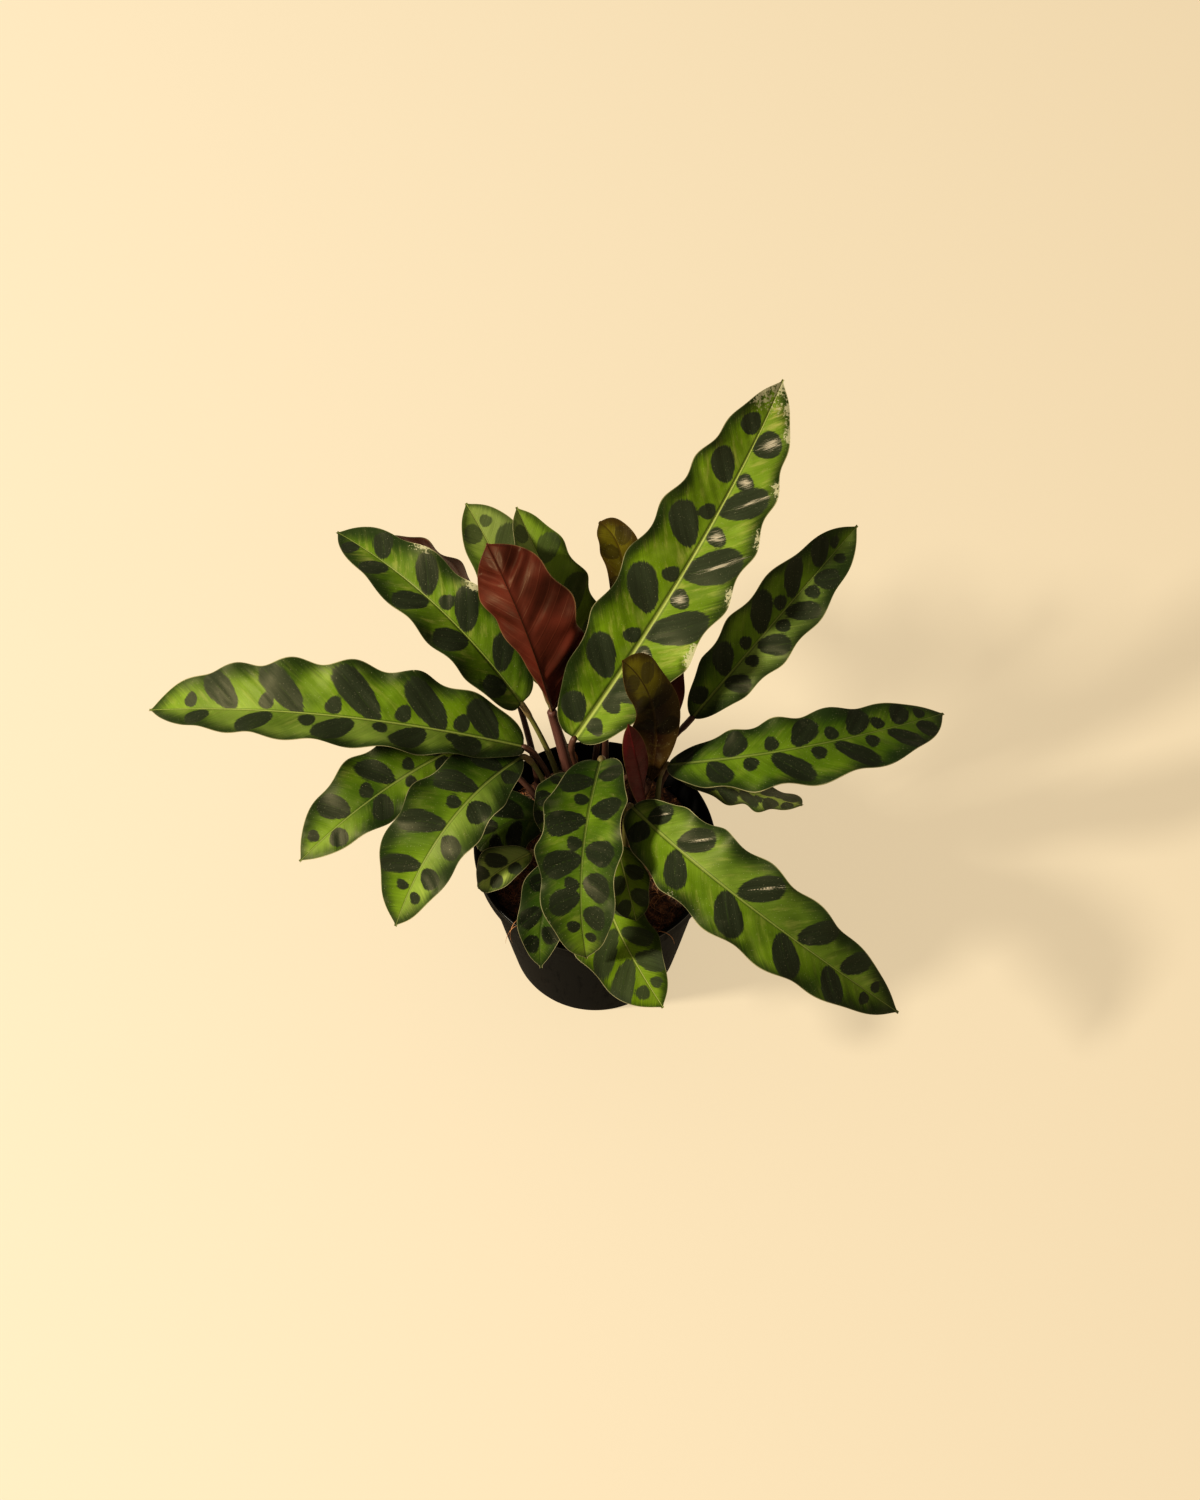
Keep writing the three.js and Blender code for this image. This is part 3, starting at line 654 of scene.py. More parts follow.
def worn_plastic_group():
    """Moulded black plastic with a dull wall, a glossy rim, faint scuffs, and dust that gathers in specks."""
    nodes, given, result = new_group(
        "worn plastic",
        {
            "Place": "vector", "Body": (0.0035, 0.0034, 0.0033, 1), "Dust": (0.12, 0.08, 0.05, 1),
            "Dust share": 0.06,
        },
        LOOKS,
    )
    drawn_upwards = {"Vector": given["Place"], "Scale": (1.0, 1.0, 0.15)}
    stretched = nodes.add("ShaderNodeMapping", drawn_upwards).outputs[0]
    scuff = nodes.fade(nodes.noise(stretched, 300.0, detail=5.0, roughness=0.7), 0.52, 0.72)
    specks = nodes.fade(nodes.noise(given["Place"], 1500.0, detail=2.0), 0.64, 0.72)
    film = nodes.fade(nodes.noise(given["Place"], 45.0, detail=4.0), 0.45, 0.75)
    dust = nodes.times(nodes.math("MAXIMUM", specks, nodes.times(film, 0.25)), given["Dust share"])
    nodes.tree.links.new(nodes.blend(dust, given["Body"], given["Dust"]), result["Color"])
    height = nodes.add("ShaderNodeSeparateXYZ", {0: given["Place"]}).outputs["Z"]
    lip = POT_HEIGHT * MM
    wall = nodes.minus(1.0, nodes.fade(height, lip - 0.003, lip - 0.001))
    roughness = nodes.plus(nodes.times(scuff, 0.16), 0.26)
    roughness = nodes.plus(roughness, nodes.times(wall, 0.5))
    roughness = nodes.plus(roughness, nodes.times(dust, 0.9))
    nodes.tree.links.new(roughness, result["Roughness"])
    nodes.tree.links.new(nodes.times(scuff, -0.3), result["Height"])
    return nodes.tree


def attribute(nodes, name):
    return nodes.add("ShaderNodeAttribute", attribute_name=name).outputs["Fac"]


def new_material(name, group, attributes=(), values=None, relief=0.3, depth=0.0004, **shader):
    """A material whose colour, roughness and relief come from one shader node group."""
    material = bpy.data.materials.new(name)
    material.use_nodes = True
    nodes = Nodes(material.node_tree)
    principled = material.node_tree.nodes["Principled BSDF"]
    place = nodes.add("ShaderNodeTexCoord").outputs["Object"]
    inputs = {"Place": place, **(values or {})}
    for label, attribute_name in attributes:
        inputs[label] = attribute(nodes, attribute_name)
    looks = nodes.add("ShaderNodeGroup", inputs, node_tree=group)
    raised = {"Height": looks.outputs["Height"], "Strength": relief, "Distance": depth}
    bump = nodes.add("ShaderNodeBump", raised)
    material.node_tree.links.new(looks.outputs["Color"], principled.inputs["Base Color"])
    material.node_tree.links.new(looks.outputs["Roughness"], principled.inputs["Roughness"])
    material.node_tree.links.new(bump.outputs[0], principled.inputs["Normal"])
    for label, value in shader.items():
        principled.inputs[label.replace("_", " ")].default_value = value
    return material


# The leaf blades


def plain_mesh(name, places, faces):
    """A smooth mesh in metres from places in millimetres."""
    mesh = bpy.data.meshes.new(name)
    mesh.from_pydata((np.asarray(places) * MM).tolist(), [], faces)
    mesh.polygons.foreach_set("use_smooth", np.ones(len(faces), bool))
    return mesh


def smooth_step(value):
    share = np.clip(value, 0.0, 1.0)
    return share * share * (3 - 2 * share)


def midrib_points(leaf, along):
    """Points of the midrib and its forward directions, for shares of its length."""
    base, middle, tip = (np.array(point, float) for point in (leaf.base, leaf.middle, leaf.tip))
    control = 2 * middle - (base + tip) / 2
    share = np.asarray(along, float)[..., None]
    points = (1 - share) ** 2 * base + 2 * share * (1 - share) * control + share**2 * tip
    forward = 2 * (1 - share) * (control - base) + 2 * share * (tip - control)
    return points, forward / np.linalg.norm(forward, axis=-1, keepdims=True)


def half_width(leaf, along, side):
    """The half blade's width at a share of its length; side is -1 for the left half and 1 for the right."""
    fullest = leaf.fullest + leaf.skew * side
    inner = leaf.point * fullest / (1 - fullest)
    peak = fullest**inner * (1 - fullest) ** leaf.point
    share = np.clip(along, 0.0, 1.0)
    fullness = share**inner * (1 - share) ** leaf.point / peak
    drawn_out = 1 - np.exp((share - 1) / POINT_SHARE)
    return np.maximum(leaf.width / 2 * fullness * drawn_out, TIP_WIDTH / 2) * (1 + leaf.bias * side)


def vein_reach(leaf, out, half):
    """How far forward of its root on the midrib a side vein has come, at a distance out from the midrib."""
    steepness = 1 / math.tan(math.radians(leaf.slant)) - 2 * VEIN_BEND * MARK_CENTRE
    return out * (steepness + VEIN_BEND * out / np.maximum(half, 1.0))


def mark_distances(leaf, length, run, out, right_half, generator):
    """Distances to the nearest mark's outline (below 0 inside it), a large mark's main vein, and a silver
    streak.

    A mark is an oval that lies along its side vein, and the streak, partly scarring and partly a painted
    glint, is a slim oval inside it.
    """
    nearest, main_vein, glint_scar = (np.full(out.shape, FAR) for _ in range(3))
    sine = math.sin(math.radians(leaf.slant))
    cosine = math.cos(math.radians(leaf.slant))
    scale = math.sqrt(leaf.width / USUAL_WIDTH)
    rows = (
        (leaf.left, False, True), (leaf.right, True, True),
        (leaf.left_dots, False, False), (leaf.right_dots, True, False),
    )
    for places, on_right, large in rows:
        for start in places:
            half = float(half_width(leaf, start + MARK_AHEAD, 1 if on_right else -1))
            chance = generator.uniform(1 - MARK_UNEVEN, 1 + MARK_UNEVEN)
            size = scale * chance * min(1, 2 * half / leaf.width) ** MARK_SHRINK
            thick = (MARK_HALF_WIDTH if large else DOT_HALF_WIDTH) * size * leaf.mark_size[on_right]
            reach = MARK_REACH * half * leaf.mark_length[on_right] if large else DOT_REACH * size
            centre = MARK_CENTRE * half if large else DOT_FROM_RIB + reach
            long = math.sqrt(max(reach**2 - (thick * cosine) ** 2, (thick * sine) ** 2)) / sine
            ahead = run - start * length
            across_vein = (ahead - vein_reach(leaf, out, half)) * sine
            middle = vein_reach(leaf, centre, half) * cosine + centre * sine
            long_way = (ahead * cosine + out * sine - middle) / long
            cross_way = across_vein / (thick * (1 + MARK_TAPER * np.clip(long_way, -1, 1)))
            powers = np.abs(cross_way) ** MARK_ROUNDNESS + np.abs(long_way) ** MARK_ROUNDNESS
            shape = powers ** (1 / MARK_ROUNDNESS)
            here = right_half == on_right
            nearest = np.where(here, np.minimum(nearest, (shape - 1) * thick), nearest)
            if large:
                from_vein = np.abs(across_vein) + np.where(np.abs(long_way) > 1.2, FAR, 0.0)
                main_vein = np.where(here, np.minimum(main_vein, from_vein), main_vein)
            if start in leaf.glint_scars:
                slim, middle_of_glint_scar = (MARK_GLINT_SCAR_WIDTH, 0.25) if large else (DOT_GLINT_SCAR_WIDTH, 0.1)
                slim *= 1 + TIP_GLINT_SCAR_SPREAD * smooth_step((start - TIP_GLINT_SCAR_FROM) / 0.1) * large
                from_glint_scar = np.hypot(cross_way / slim, (long_way - middle_of_glint_scar) / GLINT_SCAR_REACH)
                glint_scar = np.where(here, np.minimum(glint_scar, from_glint_scar), glint_scar)
    return nearest, main_vein, glint_scar


def blade_grid(leaf, length):
    """Rows as shares of the blade's length, close at both ends, and columns from -1 to 1, close at the rib."""
    rows = max(24, int(length / ROW_STEP))
    columns = 2 * max(8, int(leaf.width / COLUMN_STEP / 2))
    even = np.linspace(0, 1, rows + 1)
    along = 0.6 * even + 0.4 * (0.5 - 0.5 * np.cos(np.pi * even))
    step = np.linspace(-1, 1, columns + 1)
    across = step * (0.5 + 0.5 * np.abs(step))
    return along[:, None], across[None, :]


def blade_directions(leaf, forward):
    """The directions out to the right and up from the upper face, at each row of the blade."""
    flat_side = np.cross(forward, UP)
    flat_side /= np.linalg.norm(flat_side, axis=1, keepdims=True)
    flat_face = np.cross(flat_side, forward)
    roll = math.radians(leaf.roll)
    side = math.cos(roll) * flat_side + math.sin(roll) * flat_face
    face = math.cos(roll) * flat_face - math.sin(roll) * flat_side
    return side[:, None, :], face[:, None, :]


def blade_mesh(name, leaf, seed):
    """A thin closed blade with its relief, and what its markings need kept at each point."""
    fine = np.linspace(0, 1, 201)
    fine_points, _ = midrib_points(leaf, fine)
    run = np.concatenate([[0], np.cumsum(np.linalg.norm(np.diff(fine_points, axis=0), axis=1))])
    length = run[-1]
    along, across = blade_grid(leaf, length)
    rib, forward = midrib_points(leaf, along[:, 0])
    side, face = blade_directions(leaf, forward)

    # The waved form, by distances from the midrib
    half = half_width(leaf, along, np.sign(across))
    drift = np.sin(7 * along + leaf.waves)
    phase = 2 * np.pi * leaf.waves * along + WAVE_DRIFT * drift + np.where(across > 0, MARGIN_LAG, 0)
    calm = np.minimum(1, np.minimum(4 * along, 4 * (1 - along)))
    reach = half * across * (1 + MARGIN_SWELL * np.abs(across) * np.cos(phase) * calm)
    wave = WAVE_SHARE * (1 + WAVE_SPREAD * drift) * half * across**2 * np.sin(phase) * calm
    out = np.abs(reach)
    run_here = np.interp(along, fine, run) + 0 * across
    side_vein = run_here - vein_reach(leaf, out, half)
    margin = np.minimum(half * (1 - np.abs(across)), length - run_here + 0.4)
    generator = np.random.default_rng(seed)
    mark, main_vein, glint_scar = mark_distances(leaf, length, run_here, out, across > 0, generator)
    scale = math.sqrt(leaf.width / USUAL_WIDTH)
    rib_half = RIB_HALF_WIDTH * leaf.rib_width * scale * (1 - 0.75 * along)

    # The relief
    near_rib = np.exp(-((out / rib_half) ** 2))
    settled = smooth_step(out / 5) * smooth_step(margin / 3)
    uneven = np.sin(side_vein / 11 + seed) + np.sin(side_vein / 4.3 + out / 9 + 2 * seed)
    ridges = leaf.quilt * QUILT_HEIGHT * np.cos(2 * np.pi * side_vein / leaf.quilt_step + uneven)
    quilt = ridges * (1 + QUILT_UNEVEN * uneven) * settled
    crease = -CREASE_DEPTH * scale * np.exp(-main_vein / (CREASE_WIDTH * scale)) * settled
    upper = quilt + crease - RIB_GROOVE * rib_half * near_rib
    lower = quilt + crease - (RIB_KEEL_STEP + RIB_KEEL * rib_half) * near_rib

    fold = math.radians(leaf.fold)
    middle = rib[:, None, :] + side * (reach * math.cos(fold))[..., None]
    middle = middle + face * (out * math.sin(fold) + wave)[..., None]
    thinned = MARGIN_THICKNESS + (1 - MARGIN_THICKNESS) * smooth_step(margin / 2)
    thickness = BLADE_THICKNESS / 2 * thinned
    top = middle + face * (upper + thickness)[..., None]
    bottom = middle + face * (lower - thickness)[..., None]

    upper_faces, rim_faces, lower_faces = blade_faces(len(along) - 1, across.size - 1)
    faces = np.concatenate([upper_faces, rim_faces, lower_faces])
    mesh = plain_mesh(name, np.concatenate([top.reshape(-1, 3), bottom.reshape(-1, 3)]), faces.tolist())
    is_under = np.zeros(len(faces), np.int32)
    is_under[-len(lower_faces):] = 1
    mesh.polygons.foreach_set("material_index", is_under)

    # On the right half, the wave crests near the margin get more wear: partly scuffs, partly a painted
    # highlight where the crests catch the light
    crest = np.clip(wave / (WAVE_SHARE * half), 0, 1)
    crest_wear_and_highlight = leaf.wear * (0.3 + crest * smooth_step(1.4 - margin / 5) * (across > 0))
    kept = {
        "mark": mark,
        "main_vein": main_vein,
        "side_vein": side_vein,
        "out": reach,
        "rib": out / rib_half,
        "margin": margin / scale,
        "glint_scar": glint_scar,
        "painted_sheen": np.where(across > 0, leaf.painted_sheen[1], leaf.painted_sheen[0]) + 0 * along,
        "tone": leaf.tone - leaf.dark_base * smooth_step((0.72 - along) / 0.25) + 0 * across,
        "wear": crest_wear_and_highlight + leaf.tip_wear * smooth_step((along - TIP_WEAR_FROM) / 0.1),
    }
    for label, values in kept.items():
        keep(mesh, label, values)
    mesh.set_sharp_from_angle(angle=math.radians(50))
    return mesh


def blade_faces(rows, columns):
    """The faces of the upper sheet, the rim and the lower sheet, whose points follow the upper one's."""
    sheet = (rows + 1) * (columns + 1)
    row, column = np.meshgrid(np.arange(rows), np.arange(columns), indexing="ij")
    first = (row * (columns + 1) + column).ravel()
    upper = np.stack([first, first + 1, first + columns + 2, first + columns + 1], axis=1)
    return upper, rim_quads(rows, columns, sheet), upper[:, ::-1] + sheet


def rim_quads(rows, columns, sheet):
    """The faces that join the upper sheet to the lower one all round."""
    width = columns + 1
    quads = []
    for row in range(rows):
        left = row * width
        right = left + columns
        quads.append((left, left + width, left + width + sheet, left + sheet))
        quads.append((right + width, right, right + sheet, right + width + sheet))
    last = rows * width
    for column in range(columns):
        quads.append((column + 1, column, column + sheet, column + 1 + sheet))
        quads.append((last + column, last + column + 1, last + column + 1 + sheet, last + column + sheet))
    return np.array(quads)


def keep(mesh, name, values):
    """Stores a number at each point of the upper sheet and at the lower sheet's point under it."""
    both = np.tile(np.asarray(values, np.float32).ravel(), 2)
    mesh.attributes.new(name, "FLOAT", "POINT").data.foreach_set("value", both)


def new_piece(name, mesh, materials, slot, *nodes):
    """An object made of the mesh, which rides on the one body and stands for the CAD nodes named."""
    piece = bpy.data.objects.new(name, mesh)
    bpy.context.scene.collection.objects.link(piece)
    for material in materials:
        mesh.materials.append(material)
    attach(piece, "root")
    if nodes:
        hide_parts(*nodes)
    return piece


# The stalks


def bezier(points, share):
    a, b, c, d = points
    rest = 1 - share
    return rest**3 * a + 3 * rest**2 * share * b + 3 * rest * share**2 * c + share**3 * d


def stalk_line(leaf):
    """The stalk's line from its foot in the soil to just inside the blade."""
    base = np.array(leaf.base, float)
    forward = midrib_points(leaf, [0.0])[1][0]
    foot = np.array([*leaf.root, SOIL_TOP + SOIL_CROWN + 1], float)
    reach = np.linalg.norm(base - foot)
    control = (foot, foot + UP * reach * 0.45, base - forward * reach * 0.2, base)
    line = [np.array([*leaf.root, SOIL_TOP - STALK_DEPTH], float)]
    line += [bezier(control, step / STALK_STEPS) for step in range(STALK_STEPS + 1)]
    line.append(base + forward * 1.2)
    return np.array(line)


def tube(line, radius, sides):
    """The places and faces of a closed round tube along a line of points, with a radius at each."""
    forward = np.gradient(line, axis=0)
    forward /= np.linalg.norm(forward, axis=1, keepdims=True)
    side = np.array([1.0, 0.0, 0.0])
    places = []
    around = np.arange(sides) / sides
    for centre, ahead, size in zip(line, forward, radius):
        side = side - ahead * side.dot(ahead)
        side /= np.linalg.norm(side)
        other = np.cross(ahead, side)
        turn = 2 * np.pi * around[:, None]
        places.append(centre + size * (np.cos(turn) * side + np.sin(turn) * other))
    faces = []
    for ring in range(len(line) - 1):
        for i in range(sides):
            low, high = ring * sides, (ring + 1) * sides
            after = (i + 1) % sides
            faces.append((low + i, low + after, high + after, high + i))
    top = (len(line) - 1) * sides
    faces.append(tuple(reversed(range(sides))))
    faces.append(tuple(range(top, top + sides)))
    return np.concatenate(places), faces


def joined_mesh(name, parts):
    """One mesh of several parts, each given by its places and its faces."""
    places, faces = [], []
    count = 0
    for part_places, part_faces in parts:
        places.append(part_places)
        faces += [tuple(count + corner for corner in face) for face in part_faces]
        count += len(part_places)
    return plain_mesh(name, np.concatenate(places), faces)


def stalk_mesh(name, leaf):
    """A round stalk that thins upwards and swells into a cushion just under the blade."""
    line = stalk_line(leaf)
    run = np.concatenate([[0], np.cumsum(np.linalg.norm(np.diff(line, axis=0), axis=1))])
    along = run / run[-1]
    to_top = run[-1] - run
    cushion = smooth_step((CUSHION_LENGTH - to_top) / 3) * smooth_step(to_top / 1.5)
    if leaf.stalk == "sheath":
        cushion = 0 * cushion
    radius = leaf.stalk_radius + (leaf.stalk_top_radius - leaf.stalk_radius) * smooth_step(along)
    radius = radius * (1 + CUSHION_SWELL * cushion) * np.where(to_top < 0.5, 0.6, 1.0)
    mesh = plain_mesh(name, *tube(line, radius, STALK_SIDES))
    around = np.arange(STALK_SIDES) / STALK_SIDES
    for label, values in (
        ("along", np.repeat(along, STALK_SIDES)),
        ("around", np.tile(around, len(line))),
        ("cushion", np.repeat(cushion, STALK_SIDES)),
    ):
        data = mesh.attributes.new(label, "FLOAT", "POINT").data
        data.foreach_set("value", values.astype(np.float32))
    mesh.set_sharp_from_angle(angle=math.radians(60))
    return mesh


def strand_mesh(name):
    """Loose fibres that start in the soil and hang over the pot's rim."""
    strands = []
    for bend in STRANDS:
        control = [
            np.array([out * math.cos(math.radians(turn)), out * math.sin(math.radians(turn)), height])
            for turn, out, height in bend
        ]
        line = np.array([bezier(control, step / STRAND_STEPS) for step in range(STRAND_STEPS + 1)])
        radius = STRAND_RADIUS * np.linspace(STRAND_FOOT, STRAND_END, len(line))
        strands.append(tube(line, radius, STRAND_SIDES))
    return joined_mesh(name, strands)


# The pot and the soil


def turned_mesh(name, outline, sides):
    """A mesh turned about Z from an outline of (radius, height) pairs that starts and ends on the axis."""
    places = [(0, 0, outline[0][1])]
    for radius, height in outline[1:-1]:
        for i in range(sides):
            turn = 2 * math.pi * i / sides
            places.append((radius * math.cos(turn), radius * math.sin(turn), height))
    places.append((0, 0, outline[-1][1]))
    rings = len(outline) - 2
    faces = []
    for i in range(sides):
        after = (i + 1) % sides
        faces.append((0, 1 + after, 1 + i))
        for ring in range(rings - 1):
            low, high = 1 + ring * sides, 1 + (ring + 1) * sides
            faces.append((low + i, low + after, high + after, high + i))
        last = 1 + (rings - 1) * sides
        faces.append((last + i, last + after, len(places) - 1))
    return plain_mesh(name, places, faces)


def pot_radius_at(height):
    """The outer radius of the pot's wall under its rim band."""
    return BASE_RADIUS + (SHOULDER_RADIUS - BASE_RADIUS) * height / SHOULDER_HEIGHT


def rounded(centre, radius, first, last, steps):
    """Points of an arc in the outline, from one angle to another, in degrees."""
    points = []
    for i in range(steps + 1):
        turn = math.radians(first + (last - first) * i / steps)
        points.append((centre[0] + radius * math.cos(turn), centre[1] + radius * math.sin(turn)))
    return points


def pot_mesh():
    """The pot's shell, turned from its outline: up the outer face, over the lip and down the inner one."""
    shoulder, lip = SHOULDER_HEIGHT, LIP_RADIUS
    inside = pot_radius_at(shoulder) - POT_WALL
    outline = [(0, 0)]
    outline += rounded((BASE_RADIUS - 1, 1), 1, -90, 0, 4)
    outline += [(pot_radius_at(height), height) for height in (20, 40, 60, 80)]
    outline += rounded((pot_radius_at(shoulder) + 0.6, shoulder - 0.6), 0.6, 180, 90, 3)
    outline += rounded((RIM_RADIUS - 1.5, shoulder + 0.5), 0.5, -90, 0, 3)
    outline += [(RIM_RADIUS - 0.7, POT_HEIGHT - 4)]
    outline += rounded((RIM_RADIUS - lip, POT_HEIGHT - lip), lip, 0, 180, 10)
    outline += [(RIM_RADIUS - 2.2, POT_HEIGHT - 4), (inside + 0.4, shoulder), (inside, shoulder - 1)]
    outline += [(pot_radius_at(height) - POT_WALL, height) for height in (60, 30)]
    outline += [(pot_radius_at(BASE_THICKNESS) - POT_WALL, BASE_THICKNESS), (0, BASE_THICKNESS)]
    return turned_mesh("pot shell", outline, POT_SIDES)


def drill_mesh():
    """Rods where the pot's drain holes go."""
    rods = []
    for hole in range(DRAIN_HOLES):
        angle = 2 * math.pi * (hole + 0.5) / DRAIN_HOLES
        x, y = DRAIN_RING_RADIUS * math.cos(angle), DRAIN_RING_RADIUS * math.sin(angle)
        line = np.array([(x, y, -1), (x, y, BASE_THICKNESS + 1)])
        rods.append(tube(line, (DRAIN_RADIUS, DRAIN_RADIUS), DRAIN_SIDES))
    return joined_mesh("drain holes", rods)


def loose_object(name, mesh):
    thing = bpy.data.objects.new(name, mesh)
    bpy.context.scene.collection.objects.link(thing)
    return thing


def finished_mesh(thing, name):
    """The plain mesh of an object with its modifiers applied."""
    graph = bpy.context.evaluated_depsgraph_get()
    mesh = bpy.data.meshes.new_from_object(thing.evaluated_get(graph))
    mesh.name = name
    return mesh


def drilled_pot_mesh():
    """The pot's shell with its drain holes cut."""
    pot = loose_object("pot blank", pot_mesh())
    drill = loose_object("drill", drill_mesh())
    cut = pot.modifiers.new("drain holes", "BOOLEAN")
    cut.object = drill
    cut.solver = "EXACT"
    mesh = finished_mesh(pot, "pot")
    bpy.data.objects.remove(pot)
    bpy.data.objects.remove(drill)
    mesh.polygons.foreach_set("use_smooth", np.ones(len(mesh.polygons), bool))
    mesh.set_sharp_from_angle(angle=math.radians(35))
    return mesh


def soil_edge():
    """The soil's radius where its top meets the wall."""
    return pot_radius_at(SOIL_TOP - SOIL_BANK_FOOT) - POT_WALL - SOIL_GAP


def soil_height(radius):
    """The soil's height over the pot's foot, without its lumps."""
    edge = soil_edge()
    radii = (0, SOIL_CROWN_RADIUS, edge - SOIL_BANK_WIDTH, edge)
    heights = (SOIL_CROWN, SOIL_CROWN / 2, -SOIL_BANK_TOP, -SOIL_BANK_FOOT)
    return SOIL_TOP + np.interp(radius, radii, heights)


def soil_mesh():
    """The filling: a lumpy top on a plain body that fills the pot."""
    edge = soil_edge()
    low = BASE_THICKNESS + SOIL_GAP
    outline = [(0, low), (pot_radius_at(low) - POT_WALL - SOIL_GAP, low)]
    for ring in range(SOIL_RINGS):
        radius = edge * (1 - ring / SOIL_RINGS)
        outline.append((radius, soil_height(radius)))
    outline.append((0, soil_height(0)))
    mesh = turned_mesh("soil", outline, SOIL_SIDES)
    for vertex in mesh.vertices:
        radius = math.hypot(vertex.co.x, vertex.co.y) / MM
        if vertex.co.z < (SOIL_TOP - LUMP_DEPTH) * MM:
            continue
        calm = min(1.0, (edge - radius) / LUMP_CALM)
        lump = noise.fractal(vertex.co * 140, 1.0, 2.0, 3) + 0.5 * noise.fractal(vertex.co * 600, 1.0, 2.0, 3)
        vertex.co.z += LUMP_HEIGHT * MM * lump * calm
    return mesh


def geometry_tree(name, inputs):
    """A Geometry Nodes tree with named inputs: its nodes, its inputs by name, and its output node."""
    tree = bpy.data.node_groups.new(name, "GeometryNodeTree")
    tree.interface.new_socket("Geometry", in_out="INPUT", socket_type="NodeSocketGeometry")
    tree.interface.new_socket("Geometry", in_out="OUTPUT", socket_type="NodeSocketGeometry")
    for label, kind in inputs.items():
        tree.interface.new_socket(label, in_out="INPUT", socket_type=kind)
    nodes = Nodes(tree)
    return nodes, nodes.add("NodeGroupInput").outputs, nodes.add("NodeGroupOutput").inputs


def scatter(nodes, given, result, shape, tilt):
    """Sets a shape down at random places on the carrier, turned and sized at random."""
    points = nodes.add(
        "GeometryNodeDistributePointsOnFaces",
        {"Mesh": given["Geometry"], "Density": given["Density"], "Seed": given["Seed"]},
    )
    turn = nodes.add(
        "FunctionNodeRandomValue",
        {0: (-tilt, -tilt, 0.0), 1: (tilt, tilt, 2 * math.pi), "Seed": given["Seed"]},
        data_type="FLOAT_VECTOR",
    )
    size = nodes.add(
        "FunctionNodeRandomValue",
        {0: given["Smallest"], 1: given["Largest"], "Seed": given["Seed"]},
        data_type="FLOAT_VECTOR",
    )
    placed = nodes.add(
        "GeometryNodeInstanceOnPoints",
        {
            "Points": points.outputs["Points"], "Instance": shape,
            "Rotation": turn.outputs[0], "Scale": size.outputs[0],
        },
    )
    solid = nodes.add("GeometryNodeRealizeInstances", {"Geometry": placed.outputs[0]})
    painting = {"Geometry": solid.outputs[0], "Material": given["Material"]}
    painted = nodes.add("GeometryNodeSetMaterial", painting)
    nodes.tree.links.new(painted.outputs[0], result["Geometry"])


SCATTER_INPUTS = {
    "Density": "NodeSocketFloat", "Seed": "NodeSocketInt", "Smallest": "NodeSocketVector",
    "Largest": "NodeSocketVector", "Material": "NodeSocketMaterial",
}


def crumb_tree():
    """Crumbs of peat and chips of bark: low-sided balls of 1 mm, scaled unevenly."""
    nodes, given, result = geometry_tree("crumbs", SCATTER_INPUTS)
    ball = nodes.add("GeometryNodeMeshIcoSphere", {"Radius": 0.5 * MM, "Subdivisions": 1})
    scatter(nodes, given, result, ball.outputs["Mesh"], tilt=0.6)
    return nodes.tree


def fibre_tree():
    """Fibres: short bent threads that lie on the soil."""
    nodes, given, result = geometry_tree("fibres", SCATTER_INPUTS)
    line = nodes.add(
        "GeometryNodeCurveQuadraticBezier",
        {
            "Resolution": 7, "Start": (-0.5 * MM, 0, 0), "Middle": (0, 0.35 * MM, 0.5 * MM),
            "End": (0.5 * MM, 0, -0.05 * MM),
        },
    )
    section = nodes.add("GeometryNodeCurvePrimitiveCircle", {"Resolution": 4, "Radius": 0.016 * MM})
    sweep = {"Curve": line.outputs[0], "Profile Curve": section.outputs[0]}
    thread = nodes.add("GeometryNodeCurveToMesh", sweep)
    scatter(nodes, given, result, thread.outputs[0], tilt=0.25)
    return nodes.tree


def grown_mesh(name, carrier, tree, values):
    """What a Geometry Nodes tree grows on a copy of the carrier mesh, as a plain mesh."""
    thing = loose_object(name + " carrier", carrier)
    modifier = thing.modifiers.new(name, "NODES")
    modifier.node_group = tree
    for item in tree.interface.items_tree:
        if item.item_type == "SOCKET" and item.in_out == "INPUT" and item.name in values:
            modifier[item.identifier] = values[item.name]
    mesh = finished_mesh(thing, name)
    bpy.data.objects.remove(thing)
    return mesh


def soil_top_only(soil):
    """A copy of the soil's mesh with nothing but its top, clear of the pot's wall."""
    mesh = bpy.data.meshes.new("soil top")
    vertices = [tuple(vertex.co) for vertex in soil.vertices]
    edge = (pot_radius_at(SOIL_TOP) - POT_WALL - LOOSE_MARGIN) * MM
    foot = (SOIL_TOP - SOIL_BANK_FOOT) * MM
    faces = [
        tuple(polygon.vertices)
        for polygon in soil.polygons
        if polygon.center.z > foot and math.hypot(polygon.center.x, polygon.center.y) < edge
    ]
    mesh.from_pydata(vertices, [], faces)
    return mesh


# Everything is made here


def make_leaves(skins, stalks):
    """Each leaf's blade and its stalk, as two pieces."""
    for number, (name, leaf) in enumerate(LEAVES.items()):
        blade = blade_mesh("leaf_" + name, leaf, seed=number + FIRST_SEED)
        slot = "young_blade" if leaf.skin == "young" else "blade"
        new_piece("leaf_" + name, blade, skins[leaf.skin], slot, "blade_" + name)
        stem = stalk_mesh("stem_" + name, leaf)
        stem_slot = "sheath" if leaf.stalk == "sheath" else "stalk"
        new_piece("stem_" + name, stem, [stalks[leaf.stalk]], stem_slot, "stalk_" + name)


